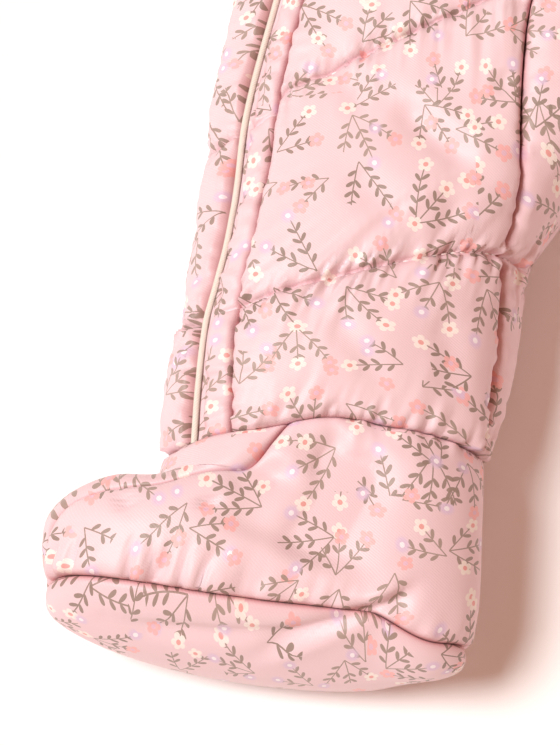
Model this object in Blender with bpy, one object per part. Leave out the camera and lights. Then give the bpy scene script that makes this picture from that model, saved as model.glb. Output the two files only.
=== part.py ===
"""Baby snowsuit: a quilted pramsuit with integral booties, lying on its back, hollow and softly filled out.

The tables are in millimetres, and the meshes are made in metres. +Z is up, +Y is towards the head, and the
wearer's right side is at -X. Most of the garment is worked out for one half, as (w, y, z) with w measured
out from the centre plane, and mirrored. Each half of the body is a stack of rings: a ring starts at the
centre front, or at the inner edge of the leg, goes over the front to the side and comes back underneath.
Body rows are numbered from the shoulder, 0, to the ankle seam, 9, with a quilted line at each whole number.
A table's points lie on the plain inside of the cloth, and the padding is added outwards from there.
"""
import math

import bpy
import numpy as np

MM = 0.001
MIDDLE_Y = 305.4  # from the ankle seam up to the middle of the garment's length
SEAM_GAP = 0.3  # between neighbouring pieces
STITCHED = 3.4  # thickness of the padded cloth on a quilted line or a seam
CROWN = 7.6  # its thickness in the middle of a channel
ROUND_ROW = 20.0  # how far from a quilted line the padding reaches its full thickness
ROUND_SEAM = 13.0  # the same from a seam
FLOOR = 6.0  # height of the inside of the back above the surface that the garment lies on
FRONT_POWER = 2.3  # superellipse power of the front walls
BACK_POWER = 4.0  # and of the flatter backs
FLAP_WIDTH = 12.5
PIPING_RADIUS = 1.2
TAPE_THICKNESS = 1.1
FLAP_THIN = 2.2
FLAP_CROWN = 4.6
ARMHOLE_ROW = 2.0  # the armpit
NECK_HALF = 58.0
NECK_DIP = 16.0
ANKLE_ROW = 9.0
ANKLE_Y = 2.0
GUSSET_TOP_ROW = 6.75

# The body's rings. side: the outer edge, inner: the centre plane or the inner edge of the leg. top: the
# height of the front. pinch: 0 where the ring is open at the centre, 1 from the crotch down.
BODY_COLUMNS = ("row", "side_w", "side_y", "inner_w", "inner_y", "top", "side_z", "pinch")
BODY = (
    (0.00, 112.0, 466, 0.0, 482, 54, 20, 0.00),
    (1.00, 126.0, 420, 0.0, 446, 58, 22, 0.00),
    (2.00, 155.0, 365, 0.0, 404, 60, 24, 0.00),
    (2.14, 149.5, 359, 0.0, 398, 60, 24, 0.00),
    (2.35, 146.5, 348, 0.0, 388, 60, 24, 0.00),
    (3.00, 145.0, 316, 0.0, 358, 61, 25, 0.00),
    (4.00, 144.0, 260, 0.0, 310, 61, 25, 0.00),
    (5.00, 142.5, 203, 0.0, 262, 60, 26, 0.00),
    (6.00, 146.0, 146, 0.0, 212, 58, 27, 0.12),
    (7.00, 155.5, 91, 0.0, 162, 56, 28, 0.52),
    (7.25, 156.6, 77, 0.0, 140, 56, 28, 0.82),
    (7.42, 157.6, 67, 0.0, 119, 56, 28, 1.00),
    (7.60, 159.0, 57, 34.0, 106, 56, 28, 1.00),
    (7.80, 161.2, 45, 60.0, 85, 56, 28, 1.00),
    (8.00, 163.6, 34, 76.5, 57, 55, 28, 1.00),
    (8.50, 166.2, 18, 82.0, 27, 53, 28, 1.00),
    (9.00, 168.0, 2, 88.0, 2, 51, 28, 1.00),
)

# Where the seams run. zip: straight across from the side edge in to the piped edge of the flap. under: from
# the side edge down to the side seam, along the cloth. gusset_front and gusset_back: from the centre plane or
# the inner edge of the leg, straight across, to the seams of the inner-leg gusset.
SEAM_COLUMNS = ("row", "zip", "under", "gusset_front", "gusset_back")
SEAMS = (
    (0.00, 74.0, 0.0, 14, 14),
    (1.00, 70.0, 0.0, 24, 24),
    (2.00, 74.0, 0.0, 32, 32),
    (2.14, 67.5, 7.0, 32, 32),
    (2.35, 59.0, 7.0, 33, 33),
    (3.00, 43.0, 7.0, 36, 36),
    (4.00, 28.0, 7.0, 38, 38),
    (5.00, 16.0, 7.0, 40, 40),
    (6.00, 8.5, 7.0, 43, 43),
    (6.75, 5.8, 7.0, 54, 50),
    (7.00, 5.2, 7.0, 68, 60),
    (7.25, 4.9, 7.0, 71, 60),
    (7.42, 4.7, 7.0, 72, 58),
    (7.60, 4.3, 7.0, 39, 30),
    (7.80, 3.8, 7.0, 15, 13),
    (8.00, 3.5, 7.0, 4, 7),
    (8.50, 3.8, 7.0, 2.5, 5),
    (9.00, 4.2, 7.0, 1.5, 5),
)

# The sleeve's rings, along its axis from the armhole: half its flat width, and its height.
SLEEVE_COLUMNS = ("along", "half_width", "top")
SLEEVE = (
    (0.0, 47.0, 58),
    (40.0, 42.0, 56),
    (85.0, 36.5, 53),
    (130.0, 31.5, 49),
    (166.0, 27.0, 44),
)
SLEEVE_START = (135.0, 424.0)
SLEEVE_ANGLE = math.radians(-26.0)
SLEEVE_BLEND = 60.0  # how far along the sleeve it takes its own shape
SLEEVE_LINES = (0.0, 42.0, 84.0, 126.0, 166.0)
CUFF_LENGTH = 18.0
CUFF_THICKNESS = 2.6
CUFF_DRAWN_IN = 1.5

# The hood's rings, from the neck to the top of the head. opening: half the width of the face opening, and
# past its end the edge of the centre strip.
HOOD_COLUMNS = ("row", "front_y", "side_y", "back_y", "side_w", "top", "side_z", "opening")
HOOD = (
    (0.0, 466, 474, 482, 58, 54, 20, 0),
    (1.0, 482, 496, 504, 79, 57, 24, 30),
    (2.0, 510, 528, 538, 91, 60, 27, 48),
    (3.0, 546, 566, 574, 95, 60, 28, 54),
    (4.0, 582, 602, 610, 90, 57, 28, 46),
    (5.0, 612, 633, 640, 74, 51, 28, 25),
    (6.0, 637, 653, 658, 56, 46, 28, 24),
    (7.0, 668, 668, 668, 30, 40, 28, 24),
)
HOOD_OPENING_END = 5.0
HOOD_CAP_ROW = 6.0
HOOD_CLOSING = 1.6  # how many rows it takes the top of the hood to round off
HOOD_STRIP = 26.0  # half the width of the centre strip along the back
HOOD_LINES = (0.0, 2.0, 4.0, 6.0)

# The bootie's rings, from the ankle seam, 0, to the sole seam, 4. slant: how much further down the foot the
# side that lies underneath reaches, for each millimetre of height.
FOOT_COLUMNS = ("ring", "heel_w", "toe_w", "heel_y", "middle_y", "toe_y", "top", "low", "slant", "power")
FOOT = (
    (0.0, 88.0, 168.0, 2, 2, 2, 51, 6, 0.00, 2.5),
    (1.0, 89.0, 171.5, -12, -11, -9, 52, 6, 0.04, 2.4),
    (2.0, 89.5, 188.0, -26, -22, -13, 52, 6, 0.12, 2.3),
    (3.0, 90.0, 202.5, -40, -36, -22, 51, 6, 0.22, 2.3),
    (4.0, 92.0, 204.0, -53, -51, -38, 47, 9, 0.33, 2.4),
)
# The seam between the vamp and each side, as a share of the way round from the heel.
VAMP_COLUMNS = ("ring", "seam")
VAMP = ((0.0, 0.29), (1.0, 0.345), (2.0, 0.40), (3.0, 0.465), (4.0, 0.485))
SOLE_BULGE = 5.0
HEEL_END = 122.0  # how far from the centre plane the sole seam starts to dip towards the heel
HEEL_WIDTH = 26.0
HEEL_DIP = 1.0  # how far down the foot it dips there
HEEL_TURN = 4.5  # and how much more on top, and less underneath

FAR = 1000.0  # a seam that is nowhere near

PINK = (0.93, 0.67, 0.66, 1.0)
CREAM = (0.87, 0.80, 0.66, 1.0)
DEEP_PINK = (0.80, 0.53, 0.52, 1.0)


def curve(xs, ys, at):
    """A smooth curve through (xs, ys) that doesn't overshoot, read at one or more places."""
    xs = np.asarray(xs, float)
    ys = np.asarray(ys, float)
    step = np.diff(xs)
    slope = np.diff(ys) / step
    tangent = np.zeros(len(xs))
    tangent[0] = slope[0]
    tangent[-1] = slope[-1]
    for i in range(1, len(xs) - 1):
        if slope[i - 1] * slope[i] > 0:
            a = 2 * step[i] + step[i - 1]
            b = step[i] + 2 * step[i - 1]
            tangent[i] = (a + b) / (a / slope[i - 1] + b / slope[i])
    at = np.clip(at, xs[0], xs[-1])
    i = np.clip(np.searchsorted(xs, at, side="right") - 1, 0, len(step) - 1)
    u = (at - xs[i]) / step[i]
    return (
        (1 + 2 * u) * (1 - u) ** 2 * ys[i]
        + u * (1 - u) ** 2 * step[i] * tangent[i]
        + u * u * (3 - 2 * u) * ys[i + 1]
        + u * u * (u - 1) * step[i] * tangent[i + 1]
    )


def read(table, columns, at):
    """A row of a table, at any place between its rows, by the names of its columns."""
    data = np.array(table, float)
    return {name: float(curve(data[:, 0], data[:, i], at)) for i, name in enumerate(columns)}


def lengths(line):
    """How far along a line each of its points lies."""
    return np.concatenate([[0.0], np.cumsum(np.linalg.norm(np.diff(line, axis=0), axis=1))])


def spread(line, count):
    """The line again, with count points evenly spaced."""
    along = lengths(line)
    wanted = np.linspace(0, along[-1], count)
    return np.stack([np.interp(wanted, along, line[:, k]) for k in range(3)], axis=1)


def unit(vectors):
    return vectors / np.maximum(np.linalg.norm(vectors, axis=-1, keepdims=True), 1e-9)


def dome(distance, reach):
    """0 at a seam, and rounding up to 1 at reach."""
    share = np.clip(distance / reach, 0.0, 1.0)
    return np.sqrt(1.0 - (1.0 - share) ** 2)


def padding(row_distance, seam_distance, thin=STITCHED, thick=CROWN):
    return thin + (thick - thin) * dome(row_distance, ROUND_ROW) * dome(seam_distance, ROUND_SEAM)


class Surface:
    """A grid of points with their outward normals, read at a row and a share of the way across."""

    def __init__(self, rows, points, normals=None):
        self.rows = rows
        self.points = points
        self.widths = np.array([lengths(line)[-1] for line in points])
        self.normals = self.grid_normals() if normals is None else normals

    def grid_normals(self):
        down = np.gradient(self.points, axis=0)
        across = np.gradient(self.points, axis=1)
        return unit(np.cross(down, across))

    def width(self, row):
        return np.interp(row, self.rows, self.widths)

    def read(self, row, share):
        """Points and normals at matching arrays of rows and shares."""
        row, share = np.broadcast_arrays(row, share)
        place = np.interp(row, self.rows, np.arange(len(self.rows)))
        across = np.clip(share, 0, 1) * (self.points.shape[1] - 1)
        i = np.clip(place.astype(int), 0, len(self.rows) - 2)
        j = np.clip(across.astype(int), 0, self.points.shape[1] - 2)
        u = (place - i)[..., None]
        v = (across - j)[..., None]
        found = []
        for grid in (self.points, self.normals):
            upper = grid[i, j] * (1 - v) + grid[i, j + 1] * v
            lower = grid[i + 1, j] * (1 - v) + grid[i + 1, j + 1] * v
            found.append(upper * (1 - u) + lower * u)
        return found[0], unit(found[1])


# ---------------------------------------------------------------------------------------- the body's rings


def body_ring(row):
    """One ring of the body as two lines of (w, y, z): the front as far as the side seam, and the back."""
    c = read(BODY, BODY_COLUMNS, row)
    seams = read(SEAMS, SEAM_COLUMNS, row)
    side_cut = 1.0
    if row < ARMHOLE_ROW:
        side_cut = 1.0 - 0.4 * math.sin(math.pi * (ARMHOLE_ROW - row) / ARMHOLE_ROW)
    closing = dome(row, 0.6)
    halves = []
    for power, height in ((FRONT_POWER, c["top"] - c["side_z"]), (BACK_POWER, FLOOR - c["side_z"])):
        start = math.acos(min(round(c["pinch"], 9), 1.0) ** (power / 2))
        end = math.pi - math.acos(side_cut ** (power / 2)) if side_cut < 1 else math.pi
        angle = np.linspace(start, end, 161)
        cosine = np.cos(angle)
        v = -np.sign(cosine) * np.abs(cosine) ** (2 / power)
        across = (v + c["pinch"]) / (side_cut + c["pinch"])
        w = c["inner_w"] + (c["side_w"] - c["inner_w"]) * across
        y = c["inner_y"] + (c["side_y"] - c["inner_y"]) * across
        neck = np.sqrt(np.clip(1 - (w / NECK_HALF) ** 2, 0, 1))
        opened = np.sqrt(1 - (1 - closing**2) * (1 - neck**2))
        z = c["side_z"] + height * np.abs(np.sin(angle)) ** (2 / power) * opened
        if row < 0.5:
            apart = SEAM_GAP / 2 * np.sign(height)
            z = np.where(np.abs(z - c["side_z"]) < SEAM_GAP / 2, c["side_z"] + apart, z)
        if height > 0 and row < 1:
            y = y - NECK_DIP * neck**2 * (1 - row) ** 2
        halves.append(np.stack([w, y, z], axis=1))
    front, back = halves[0], halves[1][::-1]
    if row >= ARMHOLE_ROW and seams["under"] > 0.01:
        along = lengths(back)
        turn = np.searchsorted(along, seams["under"])
        corner = np.array([[np.interp(seams["under"], along, back[:, k]) for k in range(3)]])
        front = np.concatenate([front, back[1:turn], corner])
        back = np.concatenate([corner, back[turn:]])
    return front, back


def body_surfaces():
    rows = np.concatenate([np.arange(0, 7, 1 / 12), np.arange(7, ANKLE_ROW + 1e-6, 0.02)])
    rows = np.unique(np.round(np.append(rows, [7.42, ARMHOLE_ROW]), 6))
    rings = [body_ring(row) for row in rows]
    front = Surface(rows, np.stack([spread(ring[0], 121) for ring in rings]))
    back = Surface(rows, np.stack([spread(ring[1], 121) for ring in rings]))
    pinch = np.array([read(BODY, BODY_COLUMNS, row)["pinch"] for row in rows])
    legs = pinch >= 1 - 1e-9
    torso = rows <= rows[legs][0] + 1e-9
    sides = rows >= ARMHOLE_ROW
    for end, other, which in ((-1, 0, sides), (0, -1, legs)):
        shared = unit(front.normals[which, end] + back.normals[which, other])
        front.normals[which, end] = shared
        back.normals[which, other] = shared
    for surface, end in ((front, 0), (back, -1)):
        surface.normals[torso, end, 0] = 0
        surface.normals[torso, end] = unit(surface.normals[torso, end])
        shoulder = surface.points[0, :, 0] > NECK_HALF
        surface.normals[0, shoulder, 2] = 0
        surface.normals[0] = unit(surface.normals[0])
    return front, back


# ------------------------------------------------------------------------------------- pieces of the garment


class Piece:
    """Padded cloth: its points on the inside and on the outside, closed with a wall all round its edges."""

    def __init__(self, name):
        self.name = name
        self.index = {}
        self.inside = []
        self.outside = []
        self.faces = []

    def number(self, inner, outer):
        key = tuple(np.round(np.concatenate([inner, outer]), 3) + 0.0)
        if key not in self.index:
            self.index[key] = len(self.inside)
            self.inside.append(inner)
            self.outside.append(outer)
        return self.index[key]

    def add(self, inner, outer):
        """A grid of points, as two arrays (rows, columns, xyz)."""
        outer = outer.copy()
        outer[..., 2] = np.maximum(outer[..., 2], 0.0)
        rows, columns = inner.shape[:2]
        across = outer[:-1, 1:] - outer[1:, :-1]
        down = outer[1:, 1:] - outer[:-1, :-1]
        outward = np.sum(np.cross(across, down) * (outer - inner)[:-1, :-1]) > 0
        ids = [[self.number(inner[i, j], outer[i, j]) for j in range(columns)] for i in range(rows)]
        for i in range(rows - 1):
            for j in range(columns - 1):
                corners = [ids[i][j], ids[i][j + 1], ids[i + 1][j + 1], ids[i + 1][j]]
                kept = [c for n, c in enumerate(corners) if c != corners[n - 1]]
                if len(kept) >= 3:
                    self.faces.append(kept if outward else kept[::-1])

    def make(self, material, smooth=40):
        count = len(self.inside)
        faces = [list(face) for face in self.faces]
        edges = {}
        for face in faces:
            for a, b in zip(face, face[1:] + face[:1]):
                edges[(a, b)] = edges.get((a, b), 0) + 1
        solid = [tuple(face) for face in faces]
        solid += [tuple(c + count for c in face[::-1]) for face in faces]
        solid += [(b, a, a + count, b + count) for a, b in edges if (b, a) not in edges]
        points = self.outside + self.inside
        triangles = [half for face in solid for half in halves_of(face, points)]
        return make_mesh(self.name, points, triangles, material, smooth)


def halves_of(face, points):
    """A face with four corners as two triangles, cut along its shorter diagonal."""
    if len(face) == 3:
        return [face]
    a, b, c, d = face
    first = np.linalg.norm(points[a] - points[c])
    second = np.linalg.norm(points[b] - points[d])
    if first <= second + 1e-6:
        return [(a, b, c), (a, c, d)]
    return [(b, c, d), (b, d, a)]


def make_mesh(name, points, faces, material, smooth=40):
    mesh = bpy.data.meshes.new(name)
    places = np.array(points, float) - np.array([0.0, MIDDLE_Y, 0.0])
    mesh.from_pydata((places * MM).tolist(), [], faces)
    mesh.update()
    mesh.materials.append(material)
    mesh.shade_smooth()
    mesh.set_sharp_from_angle(angle=math.radians(smooth))
    made = bpy.data.objects.new(name, mesh)
    collection.objects.link(made)
    return made


def material(name, colour, roughness):
    made = bpy.data.materials.new(name)
    made.use_nodes = True
    shader = made.node_tree.nodes["Principled BSDF"]
    shader.inputs["Base Color"].default_value = colour
    shader.inputs["Roughness"].default_value = roughness
    shader.inputs["Metallic"].default_value = 0.0
    return made


def neck_line(w, over):
    """The neck's edge in plan, over the front or along the back, and past it the line of the shoulder."""
    rise = np.where(over, NECK_DIP * np.clip(1 - (w / NECK_HALF) ** 2, 0, 1), 0.0)
    straight = BODY[0][4] + (BODY[0][2] - BODY[0][4]) * w / BODY[0][1]
    return straight - rise + STITCHED * np.clip((w - NECK_HALF) / 4.0, 0, 1)


def trim_body(points, over):
    """Keeps the body's cloth half a gap short of the neck, the armhole and the ankle."""
    kept = points.copy()
    half_gap = SEAM_GAP / 2
    kept[..., 1] = np.minimum(kept[..., 1], neck_line(kept[..., 0], over) - half_gap)
    kept[..., 1] = np.maximum(kept[..., 1], ANKLE_Y + half_gap)
    kept[..., 0] = np.minimum(kept[..., 0], armhole_line(kept[..., 1]) - half_gap)
    return kept


def trim_sleeve(points):
    kept = points.copy()
    kept[..., 0] = np.maximum(kept[..., 0], armhole_line(kept[..., 1], -FAR) + SEAM_GAP / 2)
    return kept


def trim_hood(points):
    kept = points.copy()
    line = neck_line(kept[..., 0], kept[..., 2] > BODY[0][6])
    kept[..., 1] = np.maximum(kept[..., 1], line + SEAM_GAP)
    return kept


def trim_foot(points):
    kept = points.copy()
    kept[..., 1] = np.minimum(kept[..., 1], ANKLE_Y - SEAM_GAP / 2)
    return kept


def placed(points, side):
    """Half-garment points (w, y, z) on the wearer's right, -1, or left, 1."""
    return points * np.array([side, 1.0, 1.0])


def even(start, end, count):
    """Shares across a panel, with the outer columns drawn towards its seams."""
    share = np.linspace(0, 1, count + 1)
    eased = share - 0.055 * np.sin(4 * math.pi * share) / math.pi * 2
    return start[:, None] + (end - start)[:, None] * eased[None, :]


def line_distance(rows):
    """From each body row to the nearest quilted line, in millimetres."""
    pitch = np.where(rows > 8, 46.0, 55.0)
    return np.abs(rows - np.round(rows)) * pitch


def body_rows(start, end):
    """Rows of points between two body rows: four to a channel, and more through the crotch."""
    marks = []
    for line in range(9):
        marks += [line, line + 0.14, line + 0.5, line + 0.86]
    marks += [GUSSET_TOP_ROW, 7.28, 7.36, 7.42, 7.50, 7.60, 7.72, 8.32, 8.7, ANKLE_ROW]
    gap = SEAM_GAP / 2 / 50
    inner = sorted({round(m, 3) for m in marks if start + 0.02 < m < end - 0.02})
    first = start if start == 0 else start + gap
    last = end if end == ANKLE_ROW else end - gap
    return np.array([first] + inner + [last])


def body_panel(piece, surface, side, rows, start, end, columns, seams=None, above=False):
    """Adds the cloth between two seams. start and end are distances across each row, and seams are the
    distances of the piece's own seams, where the padding thins. above: the piece goes on over the top of
    the gusset, and there the padding thins towards the gusset's top instead of towards the first seam."""
    widths = surface.width(rows)
    across = even(start, end, columns)
    left, right = seams if seams else (start, end)
    from_left = np.maximum(across - left[:, None], 0)
    from_right = np.maximum(right[:, None] - across, 0)
    if above:
        over = np.maximum(GUSSET_TOP_ROW - rows, 0)[:, None] * 55.0
        near = from_left if surface is front else from_right
        near = np.hypot(near, over)
        from_left, from_right = (near, from_right) if surface is front else (from_left, near)
    points, normals = surface.read(rows[:, None], across / widths[:, None])
    thick = padding(line_distance(rows)[:, None], np.minimum(from_left, from_right))
    over = surface is front
    inner, outer = trim_body(points, over), trim_body(points + normals * thick[..., None], over)
    piece.add(placed(inner, side), placed(outer, side))


def armhole_line(y, beyond=FAR):
    """How far out the armhole lies at each height y in plan, going on past its ends along the normals."""
    edge, _ = armhole()
    plan = edge[:41, :2]
    ends = np.stack([sleeve_start[0, :2], sleeve_start[np.argmax(sleeve_start[:, 1]), :2]])
    ends = ends / np.linalg.norm(ends, axis=1, keepdims=True) * 12.0
    line = np.concatenate([[plan[0] + ends[0]], plan, [plan[-1] + ends[1]]])
    return np.where((y > line[0, 1]) & (y < line[-1, 1]), np.interp(y, line[:, 1], line[:, 0]), beyond)


def seam(name, rows):
    data = np.array(SEAMS, float)
    return curve(data[:, 0], data[:, SEAM_COLUMNS.index(name)], rows)


def gusset_seam(surface, name, rows):
    """How far along the cloth a gusset seam lies from the ring's centre or inner end."""
    found = []
    shares = np.linspace(0, 1, 121) if surface is front else np.linspace(1, 0, 121)
    data = np.array(SEAMS, float)
    inner_edge = [read(BODY, BODY_COLUMNS, row)["inner_w"] for row in data[:, 0]]
    places = curve(data[:, 0], data[:, SEAM_COLUMNS.index(name)] + inner_edge, rows)
    for row, place in zip(rows, places):
        line = surface.read(np.full(121, row), shares)[0]
        half = line[: 1 + int(np.argmax(line[:, 0]))]
        reached = np.maximum.accumulate(half[:, 0])
        found.append(float(np.interp(place, reached, lengths(half))))
    return np.array(found)


def piped_edge(rows):
    """How far across the front the flap's free edge lies."""
    found = []
    for row, inwards in zip(rows, seam("zip", rows)):
        line = front.read(np.full(241, row), np.linspace(0, 1, 241))[0]
        half = line[: 1 + int(np.argmax(line[:, 0]))]
        found.append(float(np.interp(half[-1, 0] - inwards, half[:, 0], lengths(half))))
    return np.array(found)


def panel_rows():
    """The rows of a panel that goes on over the top of the gusset: above its top, and beside it."""
    upper = body_rows(0.0, GUSSET_TOP_ROW)
    lower = body_rows(GUSSET_TOP_ROW, ANKLE_ROW)
    upper[-1] = GUSSET_TOP_ROW
    lower[0] = GUSSET_TOP_ROW
    return upper, lower


def make_fronts(cloth):
    half_gap = SEAM_GAP / 2
    left_front = Piece("front_left")
    for n, rows in enumerate(panel_rows()):
        middle = gusset_seam(front, "gusset_front", rows) + half_gap
        far = np.full(len(rows), FAR)
        flap = piped_edge(rows) - FLAP_WIDTH - half_gap
        side = front.width(rows) - half_gap
        body_panel(left_front, front, -1, rows, middle, flap, 7, above=True)
        body_panel(left_front, front, 1, rows, middle, side, 9, above=True)
        if n == 0:
            for sign in (-1, 1):
                body_panel(left_front, front, sign, rows, 0 * middle, middle, 2, (middle, far), above=True)
    left_front.make(cloth)
    whole = body_rows(0.0, ANKLE_ROW)
    right_front = Piece("front_right")
    edge = piped_edge(whole) + half_gap
    body_panel(right_front, front, -1, whole, edge, front.width(whole) - half_gap, 4)
    right_front.make(cloth)


def make_back(cloth):
    half_gap = SEAM_GAP / 2
    piece = Piece("back")
    for n, rows in enumerate(panel_rows()):
        start = np.full(len(rows), half_gap)
        far = np.full(len(rows), FAR)
        width = back.width(rows)
        middle = width - gusset_seam(back, "gusset_back", rows) - half_gap
        for sign in (-1, 1):
            body_panel(piece, back, sign, rows, start, middle, 6, above=True)
            if n == 0:
                body_panel(piece, back, sign, rows, middle, width, 2, (-far, middle), above=True)
    piece.make(cloth)


def make_gusset(cloth):
    half_gap = SEAM_GAP / 2
    rows = body_rows(GUSSET_TOP_ROW, ANKLE_ROW)
    zero = np.zeros(len(rows))
    piece = Piece("inner_leg_gusset")
    over = gusset_seam(front, "gusset_front", rows) - half_gap
    under = gusset_seam(back, "gusset_back", rows) - half_gap
    width = back.width(rows)
    for sign in (-1, 1):
        body_panel(piece, front, sign, rows, zero, over, 4, (-under, over))
        body_panel(piece, back, sign, rows, width - under, width, 3, (width - under, width + over))
    piece.make(cloth)


def raised(rows, across, heights):
    """Points over the front of the right half: across is a distance, and heights are above the inside."""
    points, normals = front.read(rows[:, None], across / front.width(rows)[:, None])
    return placed(trim_body(points + normals * heights[..., None], True), -1)


def make_zip(cloth, cord, tape):
    rows = body_rows(0.0, ANKLE_ROW)
    edge = piped_edge(rows)
    half_gap = SEAM_GAP / 2
    strip = Piece("zip_tape")
    across = even(edge - FLAP_WIDTH + half_gap, edge - half_gap, 2)
    flat = np.zeros(across.shape)
    strip.add(raised(rows, across, flat), raised(rows, across, flat + TAPE_THICKNESS))
    strip.make(tape)
    flap = Piece("zip_flap")
    flap_edge = edge - 2 * PIPING_RADIUS - 2 * SEAM_GAP
    across = even(edge - FLAP_WIDTH + half_gap, flap_edge, 4)
    from_edge = np.minimum(across - across[:, :1], across[:, -1:] - across)
    lift = TAPE_THICKNESS + SEAM_GAP
    puff = FLAP_THIN + (FLAP_CROWN - FLAP_THIN) * dome(from_edge, 4.5) * dome(line_distance(rows), 9.0)[:, None]
    flap.add(raised(rows, across, flat[:, :1] + lift + across * 0), raised(rows, across, lift + puff))
    flap.make(cloth)
    centre = edge - PIPING_RADIUS - half_gap
    middle = raised(rows, centre[:, None], np.full((len(rows), 1), lift + PIPING_RADIUS + 1.4))[:, 0]
    middle[0] += unit(middle[1] - middle[0]) * PIPING_RADIUS
    middle[-1] += unit(middle[-2] - middle[-1]) * PIPING_RADIUS
    path = bpy.data.curves.new("zip_piping", "CURVE")
    path.dimensions = "3D"
    path.bevel_depth = PIPING_RADIUS * MM
    path.bevel_resolution = 2
    path.use_fill_caps = True
    spline = path.splines.new("POLY")
    spline.points.add(len(middle) - 1)
    for point, place in zip(spline.points, middle - np.array([0.0, MIDDLE_Y, 0.0])):
        point.co = (*(place * MM), 1.0)
    made = bpy.data.objects.new("zip_piping", path)
    made.data.materials.append(cord)
    collection.objects.link(made)


# ------------------------------------------------------------------------------------- sleeves and their cuffs


def armhole():
    """The armhole's edge from the armpit over the front to the shoulder and back underneath, with normals."""
    rows = np.linspace(ARMHOLE_ROW, 0, 41)
    over, over_normals = front.read(rows, np.ones(41))
    under, under_normals = back.read(rows[::-1], np.zeros(41))
    return np.concatenate([over, under[1:]]), np.concatenate([over_normals, under_normals[1:]])


def sleeve_surface(count=65):
    edge, normals = armhole()
    along = lengths(edge)
    wanted = np.linspace(0, along[-1], count)
    base = np.stack([np.interp(wanted, along, edge[:, k]) for k in range(3)], axis=1)
    base_normals = np.stack([np.interp(wanted, along, normals[:, k]) for k in range(3)], axis=1)
    turn = 2 * math.pi * np.linspace(0, 1, count)
    outward = np.array([math.cos(SLEEVE_ANGLE), math.sin(SLEEVE_ANGLE), 0.0])
    sideways = np.array([-outward[1], outward[0], 0.0])
    start = np.array([*SLEEVE_START, 0.0])
    steps = np.linspace(0, SLEEVE[-1][0] + CUFF_LENGTH, 70)
    rings = []
    for step in steps:
        c = read(SLEEVE, SLEEVE_COLUMNS, min(step, SLEEVE[-1][0]))
        middle = (c["top"] + FLOOR) / 2
        reach = (c["top"] - FLOOR) / 2
        cosine, sine = np.cos(turn), np.sin(turn)
        wide = -np.sign(cosine) * np.abs(cosine) ** (2 / 2.3) * c["half_width"]
        high = np.sign(sine) * np.abs(sine) ** (2 / 2.5) * reach + middle
        ring = start + outward * step + sideways * wide[:, None]
        ring[:, 2] = high
        rings.append(ring)
    rings = np.stack(rings)
    last = int(np.searchsorted(steps, SLEEVE_BLEND))
    chord = rings[last] - base
    leaving = outward * np.linalg.norm(chord, axis=1)[:, None]
    for n in range(last):
        u = steps[n] / steps[last]
        rings[n] = base + chord * (u + u * u * (1 - u)) - leaving * u * u * (1 - u)
    surface = Surface(steps, rings)
    closed = unit(surface.normals[:, 0] + surface.normals[:, -1])
    surface.normals[:, 0] = closed
    surface.normals[:, -1] = closed
    inward = np.einsum("ij,ij->i", surface.normals[0], base_normals)
    if inward.sum() < 0:
        surface.normals *= -1
    shared = unit(surface.normals[0] + unit(base_normals))
    surface.normals[0] = shared
    return surface, along / along[-1], shared


def fit_armhole(surface_shared):
    """Turns the body's normals at the armhole to those that the sleeve starts with, so the two meet flush."""
    rows = front.rows[front.rows <= ARMHOLE_ROW]
    edge, _ = armhole()
    along = lengths(edge) / lengths(edge)[-1]
    over = np.interp(rows, np.linspace(0, ARMHOLE_ROW, 41), along[:41][::-1])
    under = np.interp(rows, np.linspace(0, ARMHOLE_ROW, 41), along[40:])
    places = np.linspace(0, 1, len(surface_shared))
    for body, end, where in ((front, -1, over), (back, 0, under)):
        turned = np.stack([np.interp(where, places, surface_shared[:, k]) for k in range(3)], axis=1)
        body.normals[: len(rows), end] = unit(turned)


def make_sleeves(surface, cloth, band):
    edge_rows = body_rows(0.0, ARMHOLE_ROW)
    edge_rows[-1] = ARMHOLE_ROW
    where = np.linspace(0, ARMHOLE_ROW, 41)
    over = np.interp(edge_rows, where, sleeve_places[:41][::-1])
    under = np.interp(edge_rows, where, sleeve_places[40:])
    share = np.concatenate([over[::-1], under[1:]])
    marks = [SEAM_GAP]
    for line, following in zip(SLEEVE_LINES, SLEEVE_LINES[1:]):
        pitch = following - line
        marks += [line + 0.15 * pitch, line + 0.5 * pitch, line + 0.85 * pitch, following]
    rows = np.array(marks)
    nearest = np.min(np.abs(rows[:, None] - np.array(SLEEVE_LINES)[None, :]), axis=1)
    thick = padding(nearest, FAR)[:, None, None]
    points, normals = surface.read(rows[:, None], share[None, :])
    end = SLEEVE[-1][0]
    cuff_rows = np.array([end + SEAM_GAP, end + CUFF_LENGTH / 2, end + CUFF_LENGTH])
    cuff_points, cuff_normals = surface.read(cuff_rows[:, None], share[None, :])
    drawn = np.array([0.0, CUFF_DRAWN_IN, 0.4])[:, None, None]
    for name, sign in (("right", -1), ("left", 1)):
        sleeve = Piece(f"sleeve_{name}")
        inner, outer = trim_sleeve(points), trim_sleeve(points + normals * thick)
        sleeve.add(placed(inner, sign), placed(outer, sign))
        sleeve.make(cloth)
        cuff = Piece(f"cuff_{name}")
        inner = cuff_points - cuff_normals * drawn
        cuff.add(placed(inner, sign), placed(inner + cuff_normals * CUFF_THICKNESS, sign))
        cuff.make(band)


# ------------------------------------------------------------------------------------------------- the hood


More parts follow.
